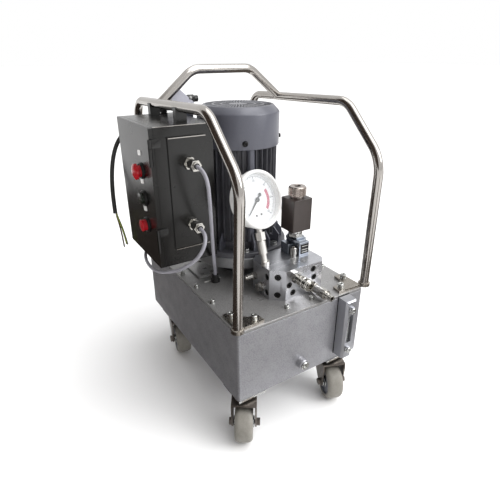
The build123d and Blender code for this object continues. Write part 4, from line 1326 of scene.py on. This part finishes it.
@dataclass
class Gauge:
    """Pressure gauge on its leaning stem."""

    bezel_mm: float = 54.0
    bore_mm: float = 48.0
    case_mm: float = 50.5
    majors: int = 7
    minors: int = 31
    sweep_deg: float = 270.0
    band_deg: tuple[float, float] = (33.0, -42.0)
    number_mm: float = 6.2
    number_ring_mm: float = 34.8

    def build(self) -> None:
        """Make the gauge."""
        point, way = joint_place("pointer_turn")
        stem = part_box("gauge_stem")[0]
        foot = Vector((stem.x + 0.008, middle("gauge_stem").y, stem.z))
        rise = (point - foot).normalized()
        rise = (rise - way * rise.dot(way)).normalized()
        across = rise.cross(way)
        turn = Matrix((across, rise, way)).transposed().to_4x4()
        self.place = Matrix.Translation(point) @ turn
        self.case()
        self.face()
        self.numbers()
        self.window()
        dress("gauge_pointer", BLACK_OXIDE)
        eased("gauge_stem", "gauge_adapter", Fitting(BRIGHT_NICKEL, slot="nickel", edge_mm=0.5))

    def case(self) -> None:
        """Turn the case and its bezel."""
        c, b, o = self.case_mm, self.bezel_mm, self.bore_mm
        profile = [(0, -19), (c - 2, -19), (c, -17), (c, 0.6), (c + 0.8, 1.0), (b - 0.9, 1.0),
                   (b, 1.9), (b, 8.2), (b - 0.8, 10.3), (b - 2.2, 11.6), (b - 3.6, 12),
                   (b - 4.8, 11.6), (b - 5.7, 10.4), (o, 8.8), (o, -3), (0, -3)]
        blank = Blank(self.place).turned(profile, steps=128)
        fitting = Fitting(WHITE_ENAMEL, slot="white_case", stands_for=("gauge_case",))
        fitting.fit(blank.object("gauge_body"))

    def face(self) -> None:
        """Make the dial, its scale, the red band and two screws."""
        o = self.bore_mm - 0.2
        dial = Blank(self.place).turned([(0, -3), (o, -3), (o, -1.8), (0, -1.8)], steps=96)
        fitting = Fitting(DIAL_WHITE, slot="dial_white", stands_for=("gauge_dial",))
        fitting.fit(dial.object("gauge_face"))
        start = 90 + self.sweep_deg / 2
        for name, count, inner, half in (("dial_major", self.majors, 38.0, 0.55),
                                         ("dial_minor", self.minors, 40.4, 0.25)):
            tick = Blank().slab((inner, -half, -1.85), (42.6, half, -1.68))
            ring = RingOf(count, start_deg=start, sweep_deg=-self.sweep_deg)
            ring.build(tick, name, self.place, Fitting(DIAL_GREY, slot="dial_white"))
        self.arc("dial_band", 26.0, 32.5, self.band_deg, DIAL_RED)
        self.arc("dial_line", 42.6, 43.1, (start, start - self.sweep_deg), DIAL_GREY)
        dots = Blank(self.place)
        for x, y in ((-6.5, -28.5), (5.5, -27.5)):
            dots.turned([(0, -1.8), (2.1, -1.8), (2.1, -1.2), (1.5, -0.8), (0, -0.8)], steps=20,
                        own=Matrix.Translation((x * MM, y * MM, 0)))
        Fitting(GREY_IRON, slot="dial_white").fit(dots.object("dial_screws"))

    def arc(self, name: str, inner: float, outer: float, span: tuple[float, float],
            finish: Finish) -> None:
        """Print one flat arc on the dial.

        Args:
            name: the piece's name.
            inner: its inner radius.
            outer: its outer radius.
            span: its first and last angle in degrees.
            finish: its ink.
        """
        steps = 48
        angles = [math.radians(span[0] + (span[1] - span[0]) * k / steps) for k in range(steps + 1)]
        outline = [(outer * math.cos(a), outer * math.sin(a)) for a in angles]
        outline += [(inner * math.cos(a), inner * math.sin(a)) for a in reversed(angles)]
        strip = Blank(self.place)
        for k in range(steps):
            quad = [outline[k], outline[k + 1], outline[2 * steps - k], outline[2 * steps + 1 - k]]
            strip.extruded(quad, -1.82, -1.70)
        Fitting(finish, slot="dial_white").fit(strip.object(name))

    def numbers(self) -> None:
        """Print the scale's numbers."""
        mesh = bmesh.new()
        for k in range(self.majors):
            angle = math.radians(90 + self.sweep_deg / 2 - self.sweep_deg * k / (self.majors - 1))
            text = bpy.data.curves.new("number", "FONT")
            text.body = str(k * 10)
            text.size = self.number_mm * MM
            text.extrude = 0.05 * MM
            text.align_x, text.align_y = "CENTER", "CENTER"
            glyph = linked("number", text)
            bpy.context.view_layer.update()
            shaped = glyph.evaluated_get(bpy.context.evaluated_depsgraph_get())
            data = bpy.data.meshes.new_from_object(shaped)
            reach = self.number_ring_mm * MM
            spot = Matrix.Translation((reach * math.cos(angle), reach * math.sin(angle),
                                       -1.75 * MM))
            data.transform(self.place @ spot)
            mesh.from_mesh(data)
            bpy.data.objects.remove(glyph)
        whole = bpy.data.meshes.new("dial_numbers")
        mesh.to_mesh(whole)
        mesh.free()
        Fitting(DIAL_GREY, slot="dial_white").fit(linked("dial_numbers", whole))

    def window(self) -> None:
        """Close the gauge with its slightly domed window."""
        o = self.bore_mm - 0.1
        pane = Blank(self.place).turned([(0, 8.6), (20, 8.4), (40, 7.8), (o, 7.2), (o, 6.0),
                                         (40, 6.6), (20, 7.2), (0, 7.4)], 96)
        Fitting(CLEAR_ACRYLIC, slot="sight_tube").fit(pane.object("gauge_window"))


@dataclass
class Manifold:
    """Manifold blocks, plugs, fittings, valve and couplers."""

    knurls: int = 60
    grips: int = 40
    plug_half_mm: float = 2.32

    def build(self) -> None:
        """Make the manifold's pieces."""
        for side in ("front", "rear"):
            eased(f"manifold_{side}", f"{side}_block",
                  Fitting(MILLED_ALLOY, slot="block_alu", edge_mm=0.6))
        dress("manifold_plugs", BLACK_OXIDE)
        eased("manifold_fittings", "side_fittings", Fitting(NICKEL, slot="nickel", edge_mm=0.4))
        self.plug_rims()
        self.valve()
        self.couplers()

    def plug_rims(self) -> None:
        """Ring each socket plug with the bright edge of its countersink."""
        block = middle("manifold_front")
        spots, ways = [], []
        for low, high in islands("manifold_plugs"):
            mid = (low + high) / 2
            way = self.face_way(mid, Vector((mid.x - block.x, mid.y - block.y, 0.0)))
            spots.append(mid + way * self.plug_half_mm * MM)
            ways.append(way)
        rim = Blank().turned([(6.4, -0.9), (7.6, 0.0), (7.6, 0.12), (6.3, -0.6)], steps=32,
                             ring=True)
        SpotsOf(spots, ways).build(rim, "plug_rims", Fitting(NICKEL, slot="block_alu"))

    @staticmethod
    def face_way(point: Vector, out: Vector) -> Vector:
        """Find the front block's face that a point lies on.

        Args:
            point: the point, in metres.
            out: roughly which way the face looks.

        Returns:
            The face's outward way.
        """
        best = None
        for face in frame["nodes"]["manifold_front"].data.polygons:
            side, normal = face.center - point, face.normal
            gap = side.dot(normal)
            if abs(normal.z) > 0.1 or face.area < 4e-5 or abs(gap) >= 0.004 or normal.dot(out) <= 0:
                continue
            flat = (side - normal * gap).length
            if best is None or flat < best[0]:
                best = (flat, normal.copy())
        return best[1] if best else out.normalized()

    def valve(self) -> None:
        """Make the solenoid valve: base, faceted body, collar, coil and knurled nut."""
        z0, z1 = (corner.z for corner in box_mm("valve_body"))
        nut = middle("coil_nut")
        x, y = nut.x / MM, nut.y / MM
        base = Blank().slab((x - 5, y - 21, z0), (x + 19, y + 22, z0 + 28))
        base.slab((x - 19, y - 4, z0), (x - 5, y + 21, z0 + 22))
        Fitting(BLUE_ZINC, slot="iron", stands_for=("valve_body",),
                edge_mm=1.0).fit(base.object("valve_base"))
        facets = [(x - 5, y - 20), (x + 11, y - 20), (x + 18, y - 12), (x + 18, y + 14),
                  (x + 11, y + 20), (x - 8, y + 20), (x - 12, y + 12), (x - 12, y - 12)]
        body = Blank().extruded(facets, z0 + 28, z0 + 33)
        body.extruded([(x - 8, y - 15), (x + 11, y - 15), (x + 15, y - 9), (x + 15, y + 9),
                       (x + 9, y + 16), (x - 8, y + 16)], z0 + 33, z0 + 37)
        Fitting(BLUE_ZINC, slot="iron", edge_mm=0.9).fit(body.object("valve_facets"))
        # A flat dark plate stands for the finned block; the pale lines on it are painted highlights
        # of the fins' edges.
        plate = Blank().slab((x - 2, y - 21.6, z0 + 4), (x + 18, y - 21, z0 + 24))
        Fitting(BLACK_OXIDE, slot="iron", edge_mm=0.2).fit(plate.object("valve_plate"))
        line = Blank().slab((0, -0.3, -0.5), (14, 0.1, 0.5))
        rows = [Vector((x + 1, y - 21.7, z0 + h)) * MM for h in (8, 13, 20)]
        SpotsOf(rows, [UP] * 3).build(line, "valve_lines", Fitting(LEGEND_PLATE, slot="iron"))
        hexed = Blank(upright((nut.x, nut.y)))
        hexed.extruded(polygon(6, 26), z0 + 37, z0 + 43)
        hexed.turned([(0, z0 + 42), (12.8, z0 + 42), (13.5, z0 + 43.6), (13.5, z0 + 51),
                      (12.9, z0 + 52), (0, z0 + 52)], 48)
        hexed.turned([(0, z0 + 52), (8, z0 + 52), (8, z1 - 0.6), (7.4, z1), (0, z1)], 40)
        Fitting(ZINC, slot="nickel", edge_mm=0.5).fit(hexed.object("valve_collar"))
        eased("solenoid_coil", "coil_block", Fitting(COIL_NYLON, slot="coil_black", edge_mm=1.2))
        self.knurled_nut()
        self.valve_screw(Vector((x - 12.0, y - 12.0, z0)) * MM)

    def valve_screw(self, seat: Vector) -> None:
        """Stand the tall plated cap screw beside the valve.

        Args:
            seat: the point it stands on.
        """
        profile = [(0, 0), (6.4, 0), (6.4, 17.5), (5.6, 18.5), (3.6, 18.5), (3.3, 18), (3.3, 12),
                   (0, 11.6)]
        screw = Blank(Matrix.Translation(seat)).turned(profile, steps=48)
        Fitting(NICKEL, slot="nickel").fit(screw.object("valve_screw"))
        ridge = Blank().extruded([(6.2, -0.3), (6.6, -0.06), (6.6, 0.06), (6.2, 0.3)], 1.5, 16.5)
        RingOf(36).build(ridge, "valve_screw_knurl", Matrix.Translation(seat),
                         Fitting(NICKEL, slot="nickel"))

    def knurled_nut(self) -> None:
        """Make the coil's nut, its straight knurl and the hexagon in its top."""
        low, high = box_mm("coil_nut")
        place = upright(middle("coil_nut"))
        r, z0, z1 = (high.x - low.x) / 2, low.z, high.z
        profile = [(8.2, z0), (12.6, z0), (13, z0 + 0.5), (13, z0 + 3.6), (r - 1.9, z0 + 4),
                   (r - 0.9, z0 + 5), (r - 0.9, z1 - 1.6), (r - 2.2, z1), (6.6, z1),
                   (6.1, z1 - 0.5), (6.1, z1 - 7), (8.2, z1 - 7)]
        nut = Blank(place).turned(profile, steps=96, ring=True)
        Fitting(SATIN_NICKEL, slot="nickel", stands_for=("coil_nut",)).fit(nut.object("coil_cap"))
        tooth = [(r - 1.3, -0.62), (r - 0.05, -0.12), (r - 0.05, 0.12), (r - 1.3, 0.62)]
        ridge = Blank().extruded(tooth, z0 + 5.6, z1 - 2.4)
        RingOf(self.knurls).build(ridge, "coil_cap_knurl", place,
                                  Fitting(SATIN_NICKEL, slot="nickel"))

    def couplers(self) -> None:
        """Make both quick couplers with their grooves, knurl and balls."""
        for node, name in (("coupler_female", "female_coupler"), ("coupler_male", "male_coupler")):
            eased(node, name, Fitting(NICKEL, slot="nickel", edge_mm=0.5))
        low, high = box_mm("coupler_sleeve")
        mid = middle("coupler_sleeve")
        place = looking((mid.x, high.y * MM, mid.z), AHEAD)
        r, long = (high.x - low.x) / 2, high.y - low.y
        profile = [(8.1, 0), (r - 1.2, 0), (r - 0.2, 1.0), (r - 0.2, 4.0), (r - 1.1, 4.8),
                   (r - 1.1, 6.0), (r - 0.3, 6.8), (r - 0.3, long - 4.6), (r - 1.2, long - 3.8),
                   (r - 1.2, long - 2.8), (r - 0.1, long - 2.0), (r - 0.1, long - 0.8),
                   (r - 1.0, long), (8.1, long)]
        sleeve = Blank(place).turned(profile, steps=72, ring=True)
        fitting = Fitting(NICKEL, "sleeve", "nickel", ("coupler_sleeve",))
        fitting.fit(sleeve.object("locking_sleeve"))
        tooth = [(r - 0.6, -0.55), (r, -0.1), (r, 0.1), (r - 0.6, 0.55)]
        ridge = Blank().extruded(tooth, 7.2, long - 5.0)
        RingOf(self.grips).build(ridge, "sleeve_knurl", place, Fitting(NICKEL, "sleeve", "nickel"))


@dataclass
class LevelGauge:
    """Level gauge: extruded body, sight tube with oil, scale and bolts."""

    marks: int = 9
    oil_share: float = 0.72
    bolt_reach_mm: float = 46.0

    def build(self) -> None:
        """Make the level gauge."""
        eased("level_gauge_frame", "level_body", Fitting(DRAWN_ALLOY, slot="block_alu",
                                                         edge_mm=0.5))
        low, high = box_mm("level_gauge_tube")
        place = upright(middle("level_gauge_tube"))
        r, z0, z1 = (high.x - low.x) / 2, low.z, high.z
        fill = z0 + (z1 - z0) * self.oil_share
        oil = Blank(place).turned([(0, z0), (r - 1.2, z0), (r - 1.2, fill), (0, fill)], steps=40)
        Fitting(OIL, slot="sight_tube").fit(oil.object("sight_oil"))
        tube = Blank(place).turned([(r - 1.1, z0), (r, z0), (r, z1), (r - 1.1, z1)], steps=48,
                                   ring=True)
        fitting = Fitting(CLEAR_ACRYLIC, slot="sight_tube", stands_for=("level_gauge_tube",))
        fitting.fit(tube.object("sight_glass"))
        self.trim(low, high)

    def trim(self, low: Vector, high: Vector) -> None:
        """Add the gasket, the dark backing, the scale's marks and the bolts' domes.

        Args:
            low: the sight tube's lowest corner, in millimetres.
            high: its highest corner.
        """
        inner, outer = box_mm("level_gauge_frame")
        seal = Blank().slab((inner.x - 1, outer.y - 1.2, inner.z - 1),
                            (outer.x + 1, outer.y - 0.05, outer.z + 1))
        Fitting(NITRILE, slot="block_alu", edge_mm=0.3).fit(seal.object("level_gasket"))
        back = high.y + 2.3
        dark = Blank().slab((low.x - 0.1, back, low.z + 0.1),
                            (high.x + 0.1, back + 0.4, high.z - 0.1))
        Fitting(BLACK_NYLON, slot="block_alu").fit(dark.object("level_backing"))
        mark = Blank().slab((0, -0.2, -0.35), (3.4, 0.1, 0.35))
        step = (high.z - low.z - 12) / (self.marks - 1)
        rows = [Vector((low.x + 0.3, back, low.z + 6 + step * k)) * MM for k in range(self.marks)]
        SpotsOf(rows, [UP] * self.marks).build(mark, "level_marks",
                                               Fitting(WHITE_ENAMEL, slot="block_alu"))
        x, z = (low.x + high.x) / 2, (inner.z + outer.z) / 2
        spots = [Vector((x, inner.y + 4.5, z + side)) * MM
                 for side in (-self.bolt_reach_mm, self.bolt_reach_mm)]
        dome = Blank().turned([(0, 0), (7.4, 0), (7.4, 1.4), (6.6, 2.2), (6.1, 2.2), (6.1, 4.9),
                               (5.2, 5.9), (2.9, 5.9), (2.6, 5.5), (2.6, 3.4), (0, 3.2)], steps=32)
        SpotsOf(spots, [AHEAD] * 2).build(dome, "level_bolts", Fitting(ZINC, slot="block_alu"))


# ---------------------------------------------------------------- control box

@dataclass
class ControlBox:
    """Control box with its door, buttons and glands."""

    tag_limit: float = 0.02
    tag_tilt_deg: float = -9.0

    def build(self) -> None:
        """Make the control box's pieces."""
        eased("control_box", "switch_box", Fitting(BOX_ENAMEL, slot="box_black", edge_mm=1.0))
        eased("box_door", "switch_door", Fitting(BOX_ENAMEL, "door", "box_black", edge_mm=1.0))
        self.bezels()
        for name, finish, slot, cap, dome in (("stop", RED_ACETAL, "red_plastic", 9.0, 3.4),
                                              ("start", DARK_ACETAL, "dark_button", 3.0, 0.5),
                                              ("reset", RED_ACETAL, "red_plastic", 4.0, 0.8)):
            self.button(name, finish, slot, cap, dome)
        self.edges()
        self.glands()

    def bezels(self) -> None:
        """Make the black bezel rings and the white legend tags."""
        solids = islands("button_bezels")
        spots = [Vector((high.x, (low.y + high.y) / 2, (low.z + high.z) / 2))
                 for low, high in solids if high.z - low.z > self.tag_limit]
        profile = [(11.3, 0), (14.5, 0), (14.5, 2.2), (13.2, 3.5), (11.9, 3.5), (11.3, 2.9)]
        ring = Blank().turned(profile, 48, ring=True)
        fitting = Fitting(BLACK_NYLON, "door", "nickel", ("button_bezels",))
        SpotsOf(spots, [LEFT] * len(spots)).build(ring, "door_bezels", fitting)
        plates = Blank()
        for low, high in solids:
            if high.z - low.z <= self.tag_limit:
                tilt = Matrix.Rotation(math.radians(self.tag_tilt_deg), 4, "X")
                plates.slab((-0.6, -7.0, -4.6), (0.6, 7.0, 4.6),
                            Matrix.Translation((low + high) / 2) @ tilt)
        Fitting(WHITE_ENAMEL, "door", "nickel", edge_mm=0.3).fit(plates.object("door_legends"))

    def button(self, name: str, finish: Finish, slot: str, cap: float, dome: float) -> None:
        """Turn one push button.

        Args:
            name: which button.
            finish: its finish.
            slot: its material slot.
            cap: the cap's thickness.
            dome: how far the cap's face bulges.
        """
        low, high = box_mm(f"button_{name}")
        mid = middle(f"button_{name}")
        place = looking((high.x * MM, mid.y, mid.z), LEFT)
        r, long = (high.z - low.z) / 2, high.x - low.x
        brim = long - dome
        profile = [(0, 0), (10.4, 0), (10.4, long - cap), (r - 0.6, long - cap),
                   (r, long - cap + 0.6), (r, brim - 0.8), (r - 0.7, brim),
                   (r * 0.75, brim + dome * 0.45), (r * 0.4, long - dome * 0.12), (0, long)]
        piece = Blank(place).turned(profile, steps=64)
        fitting = Fitting(finish, f"{name}_button", slot, (f"button_{name}",))
        fitting.fit(piece.object(f"{name}_cap"))

    def edges(self) -> None:
        """Fit polished strips on the gland plate's edges and the box's top, as painted highlights.
        """
        low, high = box_mm("control_box")
        face, left, right = low.y, high.x - 85.0, high.x - 17.0
        # Painted highlights: bright strips laid where these edges catch the light.
        strips = Blank()
        for bottom, top in ((231.2, 232.6), (32.6, 33.8)):
            strips.slab((left, face - 0.25, low.z + bottom), (right, face + 1.5, low.z + top))
        strips.slab((low.x + 10, face + 2.6, high.z - 0.4), (high.x - 2, face + 4.0, high.z + 0.5))
        Fitting(POLISHED_TUBE, slot="box_black").fit(strips.object("box_edging"))

    def glands(self) -> None:
        """Make the plated glands with their hexagons, threads and rubber inserts."""
        eased("box_glands", "gland_bodies", Fitting(NICKEL, slot="nickel", edge_mm=0.5))
        spots, ways = [], []
        for low, high in islands("box_glands"):
            mid = (low + high) / 2
            front = mid.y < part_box("control_box")[0].y + 0.03
            spots.append(Vector((mid.x, low.y if front else high.y, mid.z)))
            ways.append(AHEAD if front else -AHEAD)
        seal = Blank().turned([(3.2, -1.0), (5.2, -1.0), (5.2, 0.3), (4.4, 0.9), (3.2, 0.9)],
                              steps=32, ring=True)
        SpotsOf(spots, ways).build(seal, "gland_seals", Fitting(NITRILE, slot="black_plastic"))


# ---------------------------------------------------------------- casters

@dataclass
class Casters:
    """Four swivel casters."""

    spots: tuple[str, ...] = ("front_left", "front_right", "rear_left", "rear_right")

    def build(self) -> None:
        """Make every caster."""
        eased("caster_plates", "caster_tops", Fitting(ZINC, slot="zinc", edge_mm=0.5))
        for spot in self.spots:
            eased(f"fork_{spot}", f"caster_fork_{spot}",
                  Fitting(FORK_ZINC, f"swivel_{spot}", "zinc", edge_mm=0.5))
            self.wheel(spot)

    def wheel(self, spot: str) -> None:
        """Make one wheel: tread, centre and bearing cover.

        Args:
            spot: which caster it belongs to.
        """
        point, way = joint_place(f"roll_{spot}")
        place = looking(point, way)
        body = f"roller_{spot}"
        low, high = box_mm(f"wheel_{spot}")
        r = (high.z - low.z) / 2
        tread = [(27, -13), (27.5, -16.4), (29.5, -17), (31, -17), (34.6, -14.8), (36.8, -11.2),
                 (r, -7), (r, 7), (36.8, 11.2), (34.6, 14.8), (31, 17), (29.5, 17), (27.5, 16.4),
                 (27, 13)]
        core = [(13, -13), (14, -12.5), (26, -12), (27, -15.5), (27.2, -15.5), (27.2, 15.5),
                (27, 15.5), (26, 12), (14, 12.5), (13, 13)]
        hub = [(4.15, -20), (9.8, -20), (11, -18.8), (11, -15.5), (13, -14.5), (13.2, -13),
               (13.2, 13), (13, 14.5), (11, 15.5), (11, 18.8), (9.8, 20), (4.15, 20)]
        for name, profile, steps, fitting in (
                ("tyre", tread, 96, Fitting(TREAD, body, "tread", (f"wheel_{spot}",))),
                ("wheel_core", core, 72, Fitting(WHEEL_CORE, body, "tread")),
                ("wheel_hub", hub, 48, Fitting(ZINC, body, "tread"))):
            fitting.fit(Blank(place).turned(profile, steps, ring=True).object(f"{name}_{spot}"))


def main() -> None:
    """Build the studio and every sub-assembly."""
    logging.basicConfig(level=logging.INFO, format="%(name)s: %(message)s")
    for part in (Studio(), Wiring(), OilTank(), TubeFrame(), ScrewSet(), Motor(), Pump(), Gauge(),
                 Manifold(), LevelGauge(), ControlBox(), Casters()):
        LOG.info("building %s", type(part).__name__)
        part.build()


if __name__ == "__main__":
    main()
